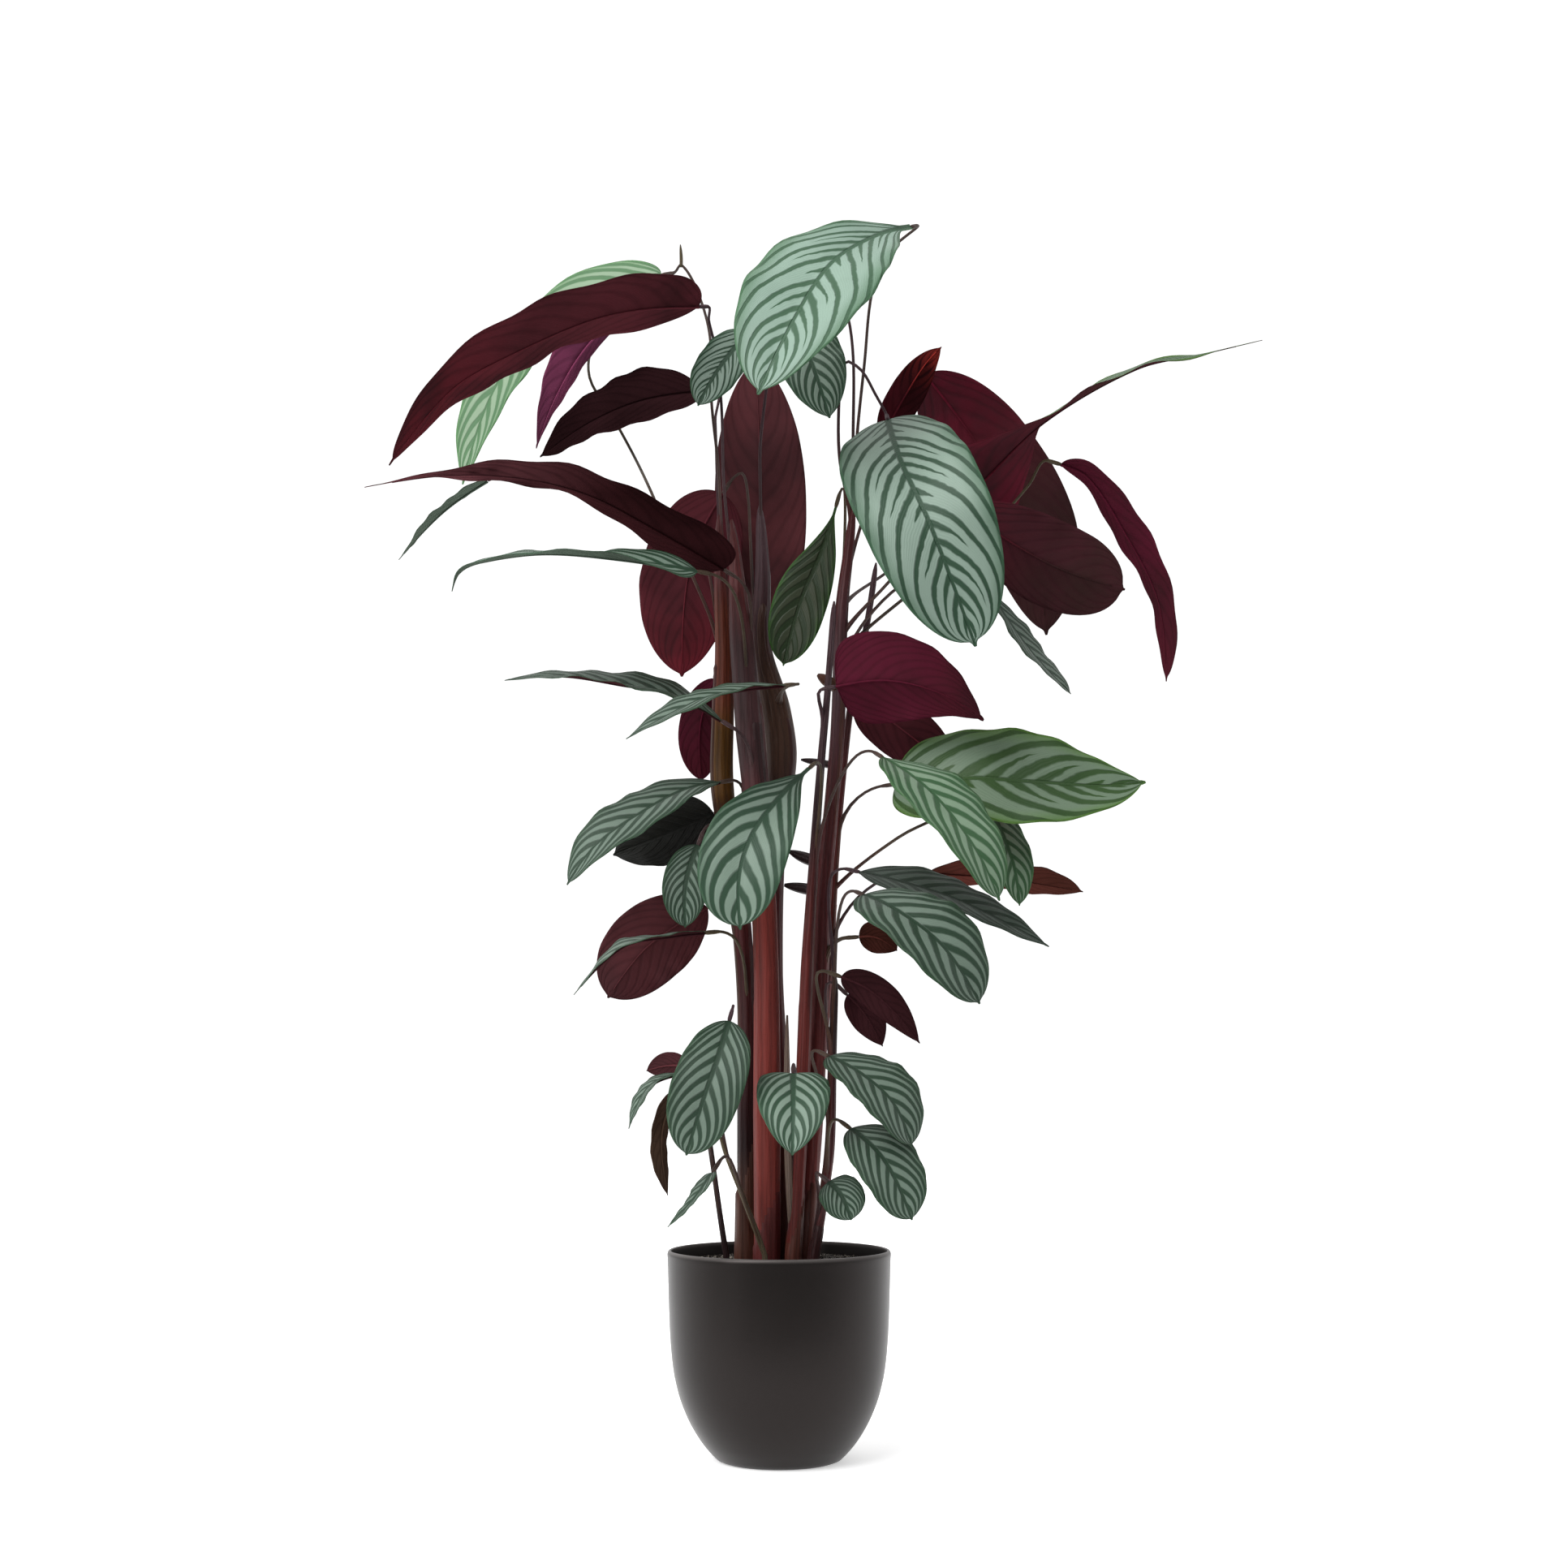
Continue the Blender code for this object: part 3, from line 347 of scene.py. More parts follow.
# Stem colours, and where along each cane they lie (height in millimetres).
STEM_TONES = {
    "soot": 0x241314, "wine": 0x4c2021, "brick": 0x742e28, "rust": 0x673020, "ochre": 0x57380f,
    "mauve": 0x493439, "olive": 0x564b36, "bark": 0x4a2a20, "rose": 0x622622, "ash": 0x6a5a50,
    "umber": 0x452f24, "plum": 0x3a2123, "peat": 0x4a2c21,
}
CANE_TONES = {
    "left": [(0, "peat"), (240, "peat"), (300, "soot"), (560, "wine"), (620, "plum"), (650, "ochre"),
        (715, "ochre"), (752, "rust"), (835, "rust"), (870, "wine")],
    "front": [(0, "rose"), (240, "brick"), (560, "brick"), (630, "wine"), (680, "plum"), (800, "plum"),
        (850, "wine")],
    "back": [(0, "wine"), (500, "wine"), (620, "plum"), (690, "umber"), (760, "umber"), (820, "plum"),
        (900, "mauve")],
    "right": [(0, "wine"), (250, "rose"), (500, "wine"), (640, "wine"), (760, "mauve"), (900, "wine")],
    "middle": [(0, "bark"), (260, "rose"), (480, "rose"), (620, "soot"), (800, "mauve")],
    "far": [(0, "bark"), (300, "wine"), (500, "rose"), (700, "wine"), (850, "mauve")],
    "low_right": [(0, "bark"), (260, "wine"), (400, "soot")],
    "low_left": [(0, "ash"), (250, "olive")],
    "edge": [(0, "soot"), (300, "soot")],
}

# The tones that the strands of the canes take in turn, and those of the shoots.
STRAND_TONES = ("mauve", "wine", "plum", "soot", "umber", "peat")
SHOOT_TONES = ("olive", "peat", "soot", "soot", "soot", "ash")

# Old brown sheaths at the foot: cane, height of the mouth, thickness, low side and tone.
OLD_SHEATHS = [
    ("left", 330, 1.4, 0.2, "peat"), ("left", 268, 2.8, 0.7, "bark"), ("front", 262, 1.2, 0.22, "wine"),
    ("right", 345, 1.2, 0.8, "wine"), ("right", 275, 2.6, 0.3, "bark"), ("back", 330, 1.8, 0.5, "bark"),
    ("middle", 262, 1.4, 0.1, "bark"), ("far", 300, 1.4, 0.6, "soot"), ("low_right", 232, 1.2, 0.4, "soot"),
]


def place(across, up, depth):
    """The point at this depth that is seen at (across, up) on the upright middle plane."""
    on_plane = Vector((across, 0.0, up))
    return EYE + (on_plane - EYE) * ((depth - EYE.y) / -EYE.y)


def run_along(points):
    """How far along its path each point lies."""
    run = [0.0]
    for a, b in zip(points, points[1:]):
        run.append(run[-1] + (b - a).length)
    return run


def smooth_path(points, count, arrival=None):
    """Points on a smooth curve through the given ones: evenly spaced, or closer together
    towards both ends where the direction of arrival is given."""
    knots = run_along(points)
    slopes = []
    last = len(points) - 1
    for i in range(last + 1):
        lo, hi = max(i - 1, 0), min(i + 1, last)
        slopes.append((points[hi] - points[lo]) / (knots[hi] - knots[lo]))
    if last > 1:
        slopes[0] = 1.5 * (points[1] - points[0]) / (knots[1] - knots[0]) - 0.5 * slopes[1]
        slopes[-1] = 1.5 * (points[-1] - points[-2]) / (knots[-1] - knots[-2]) - 0.5 * slopes[-2]
    if arrival is not None:
        slopes[-1] = arrival
    fine = []
    for i in range(last):
        span = knots[i + 1] - knots[i]
        for k in range(PATH_STEPS):
            u = k / PATH_STEPS
            fine.append(
                points[i] * (2 * u**3 - 3 * u**2 + 1) + slopes[i] * span * (u**3 - 2 * u**2 + u)
                + points[i + 1] * (3 * u**2 - 2 * u**3) + slopes[i + 1] * span * (u**3 - u**2)
            )
    fine.append(points[-1].copy())
    run = run_along(fine)
    path, k = [], 0
    for i in range(count):
        share = i / (count - 1)
        if arrival is not None:
            share -= END_BUNCHING * sin(2 * pi * share) / (2 * pi)
        goal = run[-1] * share
        while k < len(fine) - 2 and run[k + 1] < goal:
            k += 1
        u = (goal - run[k]) / (run[k + 1] - run[k])
        path.append(fine[k].lerp(fine[k + 1], u))
    return path


def direction(azimuth, elevation):
    a, e = radians(azimuth), radians(elevation)
    return Vector((sin(a) * cos(e), -cos(a) * cos(e), sin(e)))


def headings(path):
    """The direction of travel at each point of a path."""
    last = len(path) - 1
    return [(path[min(i + 1, last)] - path[max(i - 1, 0)]).normalized() for i in range(last + 1)]


def carried(ahead, start, normal):
    """A normal carried along the directions of travel without spin, both ways from a start."""
    normals = [None] * len(ahead)
    normals[start] = (normal - ahead[start] * normal.dot(ahead[start])).normalized()
    for i in range(start + 1, len(ahead)):
        normals[i] = ahead[i - 1].rotation_difference(ahead[i]) @ normals[i - 1]
    for i in range(start - 1, -1, -1):
        normals[i] = ahead[i + 1].rotation_difference(ahead[i]) @ normals[i + 1]
    return normals


def rib_frames(leaf):
    """Points, directions and upper-side normals along a midrib, without spin but for the twist."""
    path = smooth_path([place(*p) for p in leaf.rib], RIB_SAMPLES)
    ahead = headings(path)
    middle = RIB_SAMPLES // 2
    normals = carried(ahead, middle, direction(*leaf.face))
    for i in range(RIB_SAMPLES):
        away = abs(i - middle) / middle
        angle = radians(leaf.twist[0 if i < middle else 1]) * away**2
        side = normals[i].cross(ahead[i])
        normals[i] = normals[i] * cos(angle) + side * sin(angle)
    return path, ahead, normals


def outline(leaf, s):
    """Half width of a blade, 0 to 1: an oval with a small drip tip."""
    u = min(s / TIP_START, 1.0) ** (log(0.5) / log(leaf.belly))
    away = abs(2 * u - 1)
    if u < 0.5:
        oval = (1 - away**OVAL_POWER) ** leaf.base
    else:
        oval = max(1 - away ** (OVAL_POWER - 0.7 * leaf.taper), 0.0) ** (0.52 + 0.43 * leaf.taper)
    tip = TIP_WIDTH - 0.03 * max(0.0, s - TIP_START) / (1 - TIP_START)
    return max(oval, tip)


def blade_frame(frames, s):
    """The midrib's point, direction and upper-side normal a share s along it."""
    path, ahead, normals = frames
    k = s * (len(path) - 1)
    i = min(int(k), len(path) - 2)
    u = k - i
    along = ahead[i].lerp(ahead[i + 1], u).normalized()
    normal = normals[i].lerp(normals[i + 1], u)
    normal = (normal - along * normal.dot(along)).normalized()
    return path[i].lerp(path[i + 1], u), along, normal


def blade_point(leaf, frames, s, t):
    """The point a share s along the midrib and t, -1 to 1, towards the margins."""
    centre, along, normal = blade_frame(frames, s)
    side = normal.cross(along)
    reach = 0.5 * leaf.width * outline(leaf, s) * t
    lift = radians(leaf.fold)
    phase = WAVE_PHASE * leaf.number
    shift = SIDE_SHIFT if t < 0 else 0.0
    wave = MARGIN_WAVE * leaf.width * t * t * sin(pi * s)
    wave *= sin(2 * pi * MARGIN_WAVES * s + phase + shift)
    ripple = RIPPLE * leaf.width * abs(t) ** 3 * sin(pi * s)
    ripple *= sin(2 * pi * RIPPLES * s + 2 * phase + shift)
    arch = BLADE_ARCH * abs(reach) * (1 - abs(t)) * 4
    height = abs(reach) * sin(lift) + wave + ripple + arch
    return centre + side * reach * cos(lift) + normal * height


def cane_at(cane, height):
    """The cane's middle and direction at this height of its table."""
    points = [place(*p[:3]) for p in cane]
    for a, b, pa, pb in zip(cane, cane[1:], points, points[1:]):
        if a[1] <= height <= b[1]:
            u = (height - a[1]) / (b[1] - a[1])
            return pa.lerp(pb, u), (pb - pa).normalized()
    return points[-1], (points[-1] - points[-2]).normalized()


def stalk_path(leaf, base, ahead):
    """From inside the cane up to the blade's base, arriving along the midrib."""
    start, up = cane_at(CANES[leaf.cane], leaf.height)
    end = base - ahead * STALK_GAP
    joint = end - ahead * JOINT_LENGTH
    if leaf.vias:
        points = [start, start + up * STALK_RISE] + [place(*v) for v in leaf.vias]
    else:
        reach = (joint - start).length
        lift = start + up * reach * 0.45
        near = joint - ahead * reach * 0.3
        points = [start]
        for u in (0.2, 0.4, 0.6, 0.8):
            points.append(
                start * (1 - u) ** 3 + lift * 3 * u * (1 - u) ** 2 + near * 3 * u * u * (1 - u) + joint * u**3
            )
    points.append(joint)
    count = max(8, round(run_along(points)[-1] / STALK_STEP))
    return smooth_path(points, count, ahead) + [joint.lerp(end, u / 4) for u in (1, 2, 3, 4)]


def cane_path(cane):
    """Evenly spaced points and radii up the cane, straight in the soil."""
    flat = [place(*p[:3]) for p in cane]
    path = [flat[0]] + smooth_path(flat[1:], 3 + int((cane[-1][1] - cane[0][1]) / CANE_STEP))
    radii = []
    for point in path:
        lo = max(i for i in range(len(cane)) if flat[i].z <= point.z + 0.01)
        hi = min(lo + 1, len(cane) - 1)
        u = 0.0 if hi == lo else (point.z - flat[lo].z) / (flat[hi].z - flat[lo].z)
        radii.append(cane[lo][3] * (1 - u) + cane[hi][3] * u)
    for i, share in enumerate(TIP_SHARES):
        radii[i - len(TIP_SHARES)] *= share
    return path, radii


def linear(colour):
    """A colour written as 0xRRGGBB, as a shader takes it."""
    parts = []
    for shift in (16, 8, 0):
        c = ((colour >> shift) & 255) / 255
        parts.append(c / 12.92 if c <= 0.04045 else ((c + 0.055) / 1.055) ** 2.4)
    return (*parts, 1.0)


def operator(operation, turned_round=False):
    """An arithmetic operator of Value, or the one for a value that stands on its right."""
    def method(self, other):
        pair = (other, self) if turned_round else (self, other)
        return self.finish.node("Math", {"operation": operation}, dict(enumerate(pair)))
    return method


class Value:
    """One number of a shader. Arithmetic on it adds Math nodes."""

    __add__ = __radd__ = operator("ADD")
    __mul__ = __rmul__ = operator("MULTIPLY")
    __sub__ = operator("SUBTRACT")
    __rsub__ = operator("SUBTRACT", True)
    __truediv__ = operator("DIVIDE")
    __rtruediv__ = operator("DIVIDE", True)

    def __init__(self, finish, socket):
        self.finish = finish
        self.socket = socket

    def math(self, operation, *others):
        return self.finish.node("Math", {"operation": operation}, dict(enumerate((self, *others))))

    def __abs__(self):
        return self.math("ABSOLUTE")

    def over(self, low, high):
        """0 below low, 1 above high, smooth between them."""
        inputs = {0: self, 1: low, 2: high}
        return self.finish.node("MapRange", {"interpolation_type": "SMOOTHSTEP"}, inputs)

    def fold(self):
        """How far it is from the nearest whole number, 0 to 0.5."""
        return abs((self + 0.5).math("FRACT") - 0.5)


class Finish:
    """The nodes of a new material, or of a new world."""

    def __init__(self, name, owners=None, shader="Principled BSDF"):
        owners = bpy.data.materials if owners is None else owners
        self.owner = owners.new(name)
        self.owner.use_nodes = True
        self.tree = self.owner.node_tree
        self.shader = self.tree.nodes[shader]

    def node(self, kind, settings, inputs, output=0):
        """Adds a node: its settings first, then the values or links of its sockets."""
        made = self.tree.nodes.new("ShaderNode" + kind)
        for key, value in settings.items():
            setattr(made, key, value)
        for key, value in inputs.items():
            self.put(value, made.inputs[key])
        return Value(self, made.outputs[output])

    def parts(self, vector):
        """A vector's three numbers."""
        split = self.node("SeparateXYZ", {}, {0: vector}).socket.node
        return [Value(self, socket) for socket in split.outputs]

    def places(self):
        return self.node("TexCoord", {}, {}, "Object")

    def map(self, name):
        return self.node("UVMap", {"uv_map": name}, {})

    def trait(self, name):
        return self.node("Attribute", {"attribute_name": name}, {}, "Vector")

    def stretched(self, vector, scale):
        """A vector multiplied by a number along each axis."""
        return self.node("VectorMath", {"operation": "MULTIPLY"}, {0: vector, 1: scale})

    def noise(self, vector, scale, detail=2.0, rough=0.5):
        inputs = {"Vector": vector, "Scale": scale, "Detail": detail, "Roughness": rough}
        return self.node("TexNoise", {}, inputs)

    def mix(self, share, a, b, how="MIX"):
        """A colour mix."""
        return self.node("Mix", {"data_type": "RGBA", "blend_type": how}, {0: share, 6: a, 7: b}, 2)

    def grey(self, value):
        """A number as a grey colour."""
        return self.node("CombineColor", {}, {0: value, 1: value, 2: value})

    def put(self, value, socket):
        """Links a value to a socket, or sets the socket to a constant."""
        if isinstance(value, Value):
            self.tree.links.new(value.socket, socket)
        else:
            socket.default_value = value

    def feed(self, name, value):
        self.put(value, self.shader.inputs[name])

    def surface(self, colour, roughness, specular, height, distance):
        """Sets colour, gloss and bumps, which are a height of 0 to 1 times a distance in metres."""
        self.feed("Base Color", colour)
        self.feed("Roughness", roughness)
        self.feed("Specular IOR Level", specular)
        self.feed("Normal", self.node("Bump", {}, {"Strength": 1.0, "Distance": distance, "Height": height}))
        return self.owner


def veins(finish):
    """What both sides of a blade share: places, the shares along it and towards the margin, the
    place in the row of side veins, and the fine veinlets."""
    s, v, _ = finish.parts(finish.map("blade"))
    aspect, count, seed = finish.parts(finish.trait("traits"))
    places = finish.places()
    t = v * 2.0 - 1.0
    a = abs(t)
    side = t.math("GREATER_THAN", 0.0)
    drift = finish.noise(places, 20.0, 1.0) - 0.5
    wobble = finish.noise(places, 120.0, 1.0) - 0.5
    start = s - aspect * (a * VEIN_LEAN + a * a * a * VEIN_CURL) + drift * 0.05
    run = start * count + side * 0.46 + seed + wobble * 0.10
    lines = (run * 9.0 + a * 0.4).fold() * 2.0 * (1.0 - s.over(0.6, 0.9))
    return places, s, a, run, lines


def upper_side(name, band, vein, margin_colour, share, short_reach):
    """Pale bands between dark side veins that leave a dark midrib, with a thin green margin.
    Widths are measured along the midrib, so they are greater where a vein slants."""
    finish = Finish("leaf_top_" + name)
    places, s, a, run, lines = veins(finish)
    midrib = abs(finish.parts(finish.map("size"))[1])
    margin = midrib * (1.0 / (a + 0.02) - 1.0)
    slope = VEIN_LEAN + a * a * (3.0 * VEIN_CURL)
    crowding = (slope * slope + 1.0).math("SQRT") / hypot(VEIN_LEAN, 1.0)
    width = crowding * (1.1 - 0.5 * a) * share
    dark = 1.0 - (run.fold() / width).over(0.6, 1.25)
    relief = dark
    if short_reach:
        cell = finish.node("TexWhiteNoise", {"noise_dimensions": "1D"}, {"W": run.math("FLOOR")})
        gone = a / (short_reach * (0.5 + cell * 0.9))
        short_width = width * (1.0 - gone.over(0.0, 1.0) * 0.75)
        short_veins = 1.0 - ((run + 0.5).fold() / short_width).over(0.6, 1.25)
        dark = dark.math("MAXIMUM", short_veins * (1.0 - gone.over(0.85, 1.0)))
    rib_mask = 1.0 - (midrib / (0.0034 - 0.0022 * s)).over(0.6, 1.3)
    dark = dark.math("MAXIMUM", rib_mask)
    rim = 1.0 - (margin / 0.0017).over(0.3, 1.3)
    mottle = finish.noise(places, 60.0, 3.0)
    patches = finish.noise(places, 9.0, 2.0)
    bright = 0.60 + 0.30 * patches + 0.10 * mottle + lines * 0.06
    ground = finish.mix(1.0, linear(band), finish.grey(bright), "MULTIPLY")
    ground = finish.mix(a.over(0.62, 1.0) * (0.35 + patches * 0.6), ground, linear(margin_colour))
    deep = finish.mix(patches * 0.4, linear(vein), linear(margin_colour))
    colour = finish.mix(dark * 0.95, ground, deep)
    colour = finish.mix(rim * 0.7, colour, linear(margin_colour))
    height = (1.0 - relief * 0.6) * (1.0 - rib_mask * 0.8) + lines * 0.10
    return finish.surface(colour, 0.36 + 0.16 * mottle, 0.25, height, 0.0012)


def underside(name, ground, mottling, far, turn):
    """Deep red and softly mottled, with faint feathering along the side veins."""
    finish = Finish("leaf_under_" + name)
    places, s, _, run, lines = veins(finish)
    mottle = finish.noise(places, 45.0, 4.0, 0.6)
    patches = finish.noise(places, 11.0, 3.0)
    groove = 1.0 - run.fold().over(0.0, 0.30)
    shade = groove * 0.22 + patches.over(0.38, 0.66) * 0.8 + mottle.over(0.4, 0.7) * 0.2
    colour = finish.mix(s.over(turn, turn + 0.5), linear(ground), linear(far))
    colour = finish.mix(shade.math("MINIMUM", 1.0), colour, linear(mottling))
    bright = 0.76 + 0.34 * mottle - groove * 0.06 + lines * 0.03
    colour = finish.mix(1.0, colour, finish.grey(bright), "MULTIPLY")
    height = groove * -0.4 + lines * 0.06 + mottle * 0.25
    return finish.surface(colour, 0.46 + 0.16 * mottle, 0.0, height, 0.0008)


def rib_finish():
    """The midrib below a blade."""
    finish = Finish("leaf_midrib")
    mottle = finish.noise(finish.places(), 160.0, 3.0)
    colour = finish.mix(1.0, finish.trait("tone"), finish.grey(0.75 + mottle * 0.5), "MULTIPLY")
    return finish.surface(colour, 0.38 + 0.14 * mottle, 0.0, mottle, 0.0004)


def stem_finish():
    """Sheathed stems: long fine streaks over each one's own tones."""
    finish = Finish("stem_skin")
    around = finish.parts(finish.map("stem"))[1]
    places = finish.places()
    streak_places = finish.stretched(places, (1.0, 1.0, 0.055))
    streaks = finish.noise(streak_places, 340.0, 3.0, 0.6)
    broad = finish.noise(streak_places, 90.0, 2.0)
    fibres = (around * 9.0 + streaks * 0.9).fold() * 2.0
    freckles = finish.noise(places, 420.0, 2.0).over(0.62, 0.75)
    bright = (0.28 + broad * 1.10 + streaks * 0.70) * (0.72 + fibres.over(0.0, 0.5) * 0.28)
    colour = finish.mix(1.0, finish.trait("tone"), finish.grey(bright), "MULTIPLY")
    colour = finish.mix(freckles * 0.25, colour, linear(FRECKLES))
    return finish.surface(colour, 0.34 + 0.22 * streaks, 0.25, streaks * 0.4 + fibres * 0.6, 0.0010)


def pot_finish():
    """Satin moulded plastic, near black, with a very fine grain, faint rubs and a painted highlight along the
    lip.
    """
    finish = Finish("planter_plastic")
    places = finish.places()
    grain = finish.noise(places, 1500.0, 2.0)
    cloud = finish.noise(places, 14.0, 3.0)
    rubs = finish.noise(finish.stretched(places, (1.0, 1.0, 6.0)), 55.0, 4.0, 0.65).over(0.60, 0.80)
    colour = finish.mix(cloud, *map(linear, POT_TONES))
    height = finish.parts(places)[2]
    # Painted highlight: the top few millimetres of the lip, all round, are mixed towards a pale grey.
    lip_highlight = height.over((POT_HEIGHT - LIP_OUTER) * MM, POT_HEIGHT * MM) * (0.5 + 0.5 * cloud)
    colour = finish.mix(rubs * 0.10, colour, linear(POT_RUBS))
    colour = finish.mix(lip_highlight, colour, linear(POT_LIP_HIGHLIGHT))
    finish.feed("Specular Tint", (1.0, 0.88, 0.86, 1.0))
    return finish.surface(colour, 0.27 + 0.08 * cloud + 0.05 * grain, 0.27, grain, 0.00006)


def soil_finish(name, tones, flecks):
    """Damp peat: dark crumbs with pale mineral flecks."""
    finish = Finish(name)
    places = finish.places()
    crumbs = finish.noise(places, 420.0, 4.0, 0.7)
    clods = finish.noise(places, 90.0, 3.0)
    fleck = finish.noise(places, 900.0, 1.0).over(0.60, 0.66) * flecks
    colour = finish.mix(clods * crumbs * 1.6, *map(linear, tones))
    colour = finish.mix(fleck, colour, linear(SOIL_FLECKS))
    return finish.surface(colour, 0.78 + 0.2 * crumbs, 0.08, crumbs, 0.0016)


def as_mesh(name, bm):
    mesh = bpy.data.meshes.new(name)
    bm.to_mesh(mesh)
    bm.free()
    return mesh


def add_object(name, data):
    made = bpy.data.objects.new(name, data)
    bpy.context.scene.collection.objects.link(made)
    return made


def add_piece(name, bm, materials, node):
    """A finished piece, which stands for a CAD node if one is named."""
    mesh = as_mesh(name, bm)
    for mat in materials:
        mesh.materials.append(mat)
    piece = add_object(name, mesh)
    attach(piece, "root")
    if node:
        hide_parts(node)


def layer(layers, name):
    return layers.get(name) or layers.new(name)


def roll_tube(bm, path, radii, sides, tones, slot=0, ridge=0.0, mouth=None):
    """A closed tube along the path, rolled from a grid, with a tone at each point. It may have a
    ridge along one side, where a sheath's edges overlap. A mouth (the radii beneath, a side, a
    depth) cuts its far end down to those radii, lower on that side."""
    stem_map = layer(bm.loops.layers.uv, "stem")
    tone = layer(bm.verts.layers.float_vector, "tone")
    ahead = headings(path)
    normals = carried(ahead, 0, TUBE_SEAM)
    last = len(path) - 1
    run = run_along(path)
    verts = bmesh.ops.create_grid(bm, x_segments=last + 2, y_segments=sides, size=1.0)["verts"]
    spots = {}
    for vert in verts:
        row = round((vert.co.x + 1) / 2 * (last + 2))
        spots[vert] = (min(max(row - 1, 0), last), 0 < row < last + 2, (vert.co.y + 1) / 2)
    faces = {face for vert in verts for face in vert.link_faces}
    for face in faces:
        face.smooth = True
        face.material_index = slot
        for loop in face.loops:
            i, _, share = spots[loop.vert]
            loop[stem_map].uv = (run[i] * MM, share)
    for vert, (i, open_row, share) in spots.items():
        angle = 2 * pi * share
        out = normals[i] * cos(angle) + normals[i].cross(ahead[i]) * sin(angle)
        ridged = 1 + ridge * ((share + RIDGE_DRIFT * run[i]) % 1.0 - 0.5)
        radius = radii[i] * ridged if open_row else 0.0
        if mouth and open_row:
            beneath, side, depth = mouth
            edge = 1.0 - depth * (0.5 - 0.5 * cos(2 * pi * (share - side)))
            if i / last > edge:
                radius = beneath[i]
        vert.co = (path[i] + out * radius) * MM
        vert[tone] = tones[i]
    bmesh.ops.remove_doubles(bm, verts=verts, dist=0.000001)
    bmesh.ops.recalc_face_normals(bm, faces=[face for face in faces if face.is_valid])


def named_tone(name):
    return Vector(linear(STEM_TONES[name])[:3])


def blend_tones(stops, place_on):
    """The tone at a place among stops of (place, name)."""
    for (a, tone_a), (b, tone_b) in zip(stops, stops[1:]):
        if a <= place_on <= b:
            return named_tone(tone_a).lerp(named_tone(tone_b), (place_on - a) / (b - a))
    return named_tone(stops[0 if place_on < stops[0][0] else -1][1])


def build_leaf(leaf, materials):
    """A blade with its two sides, and the midrib standing out below it."""
    name = f"leaf_{leaf.number:02}"
    frames = rib_frames(leaf)
    length = run_along(frames[0])[-1]
    rows = BLADE_ROWS + int(length / ROW_STEP)
    columns = BLADE_COLUMNS[leaf.width > WIDE_BLADE]
    bm = bmesh.new()
    blade_map = bm.loops.layers.uv.new("blade")
    size_map = bm.loops.layers.uv.new("size")
    traits = bm.verts.layers.float_vector.new("traits")
    bmesh.ops.create_grid(bm, x_segments=rows, y_segments=columns, size=1.0)
    spots = {}
    for vert in bm.verts:
        s = 0.5 - 0.5 * cos(pi * round((vert.co.x + 1) / 2 * rows) / rows)
        t = sin(vert.co.y * pi / 2) * 0.35 + vert.co.y * 0.65
        spots[vert] = (s, t, 0.5 * leaf.width * outline(leaf, s) * t)
    for face in bm.faces:
        face.smooth = True
        for loop in face.loops:
            s, t, reach = spots[loop.vert]
            loop[blade_map].uv = (s, 0.5 + t / 2)
            loop[size_map].uv = (s * length * MM, reach * MM)
    for vert, (s, t, _) in spots.items():
        vert[traits] = (0.5 * leaf.width / length, leaf.veins, 0.37 * leaf.number % 1.0)
        vert.co = blade_point(leaf, frames, s, t) * MM
    sheet = add_object(name + "_sheet", as_mesh(name + "_sheet", bm))
    shell = sheet.modifiers.new("Thickness", "SOLIDIFY")
    shell.thickness = BLADE_THICKNESS * MM
    shell.offset = 0.0
    shell.material_offset = 1
    shell.material_offset_rim = 1 if frames[2][RIB_SAMPLES // 2].y > 0 or leaf.twist[0] > 90 else 0
    bpy.context.view_layer.update()
    for mat in materials:
        sheet.data.materials.append(mat)
    solid = bpy.data.meshes.new_from_object(sheet.evaluated_get(bpy.context.evaluated_depsgraph_get()))
    bpy.data.objects.remove(sheet)
    bm = bmesh.new()
    bm.from_mesh(solid)
    spine, radii, tones = [], [], []
    ground, _, far, turn, lightness = UNDERSIDES[leaf.under]
    near, far = (Vector(linear(tint)[:3]) for tint in (ground, far))
    for i in range(rows + 1):
        s = RIB_END * i / rows
        centre, _, normal = blade_frame(frames, s)
        radius = RIB_RADIUS - RIB_TAPER * s
        spine.append(centre - normal * radius)
        radii.append(radius)
        tones.append(near.lerp(far, min(max((s - turn) / 0.5, 0.0), 1.0)) * lightness)
    roll_tube(bm, spine, radii, RIB_SIDES, tones, 2)
    add_piece(name + "_blade", bm, materials, name)


def let_go(gone):
    """How much of a sheath is left round a stalk's base, 1 to 0, this far along the stalk."""
    return (1.0 - min(max(gone / SHEATH_LET_GO, 0.0), 1.0)) ** 2


def stalk_radius(gone, whole, sheath):
    """A stalk tapers from its sheath, and swells into a joint just below the blade."""
    slim = STALK_RADIUS * (1.3 - 0.3 * gone / whole)
    left = whole - gone
    if left < 3:
        return JOINT_RADIUS * (0.75 + 0.25 * left / 3)
    if left < JOINT_LENGTH + 3:
        return STALK_RADIUS + (JOINT_RADIUS - STALK_RADIUS) * min(1.0, (JOINT_LENGTH + 3 - left) / 5)
    return slim + (sheath - slim) * let_go(gone)


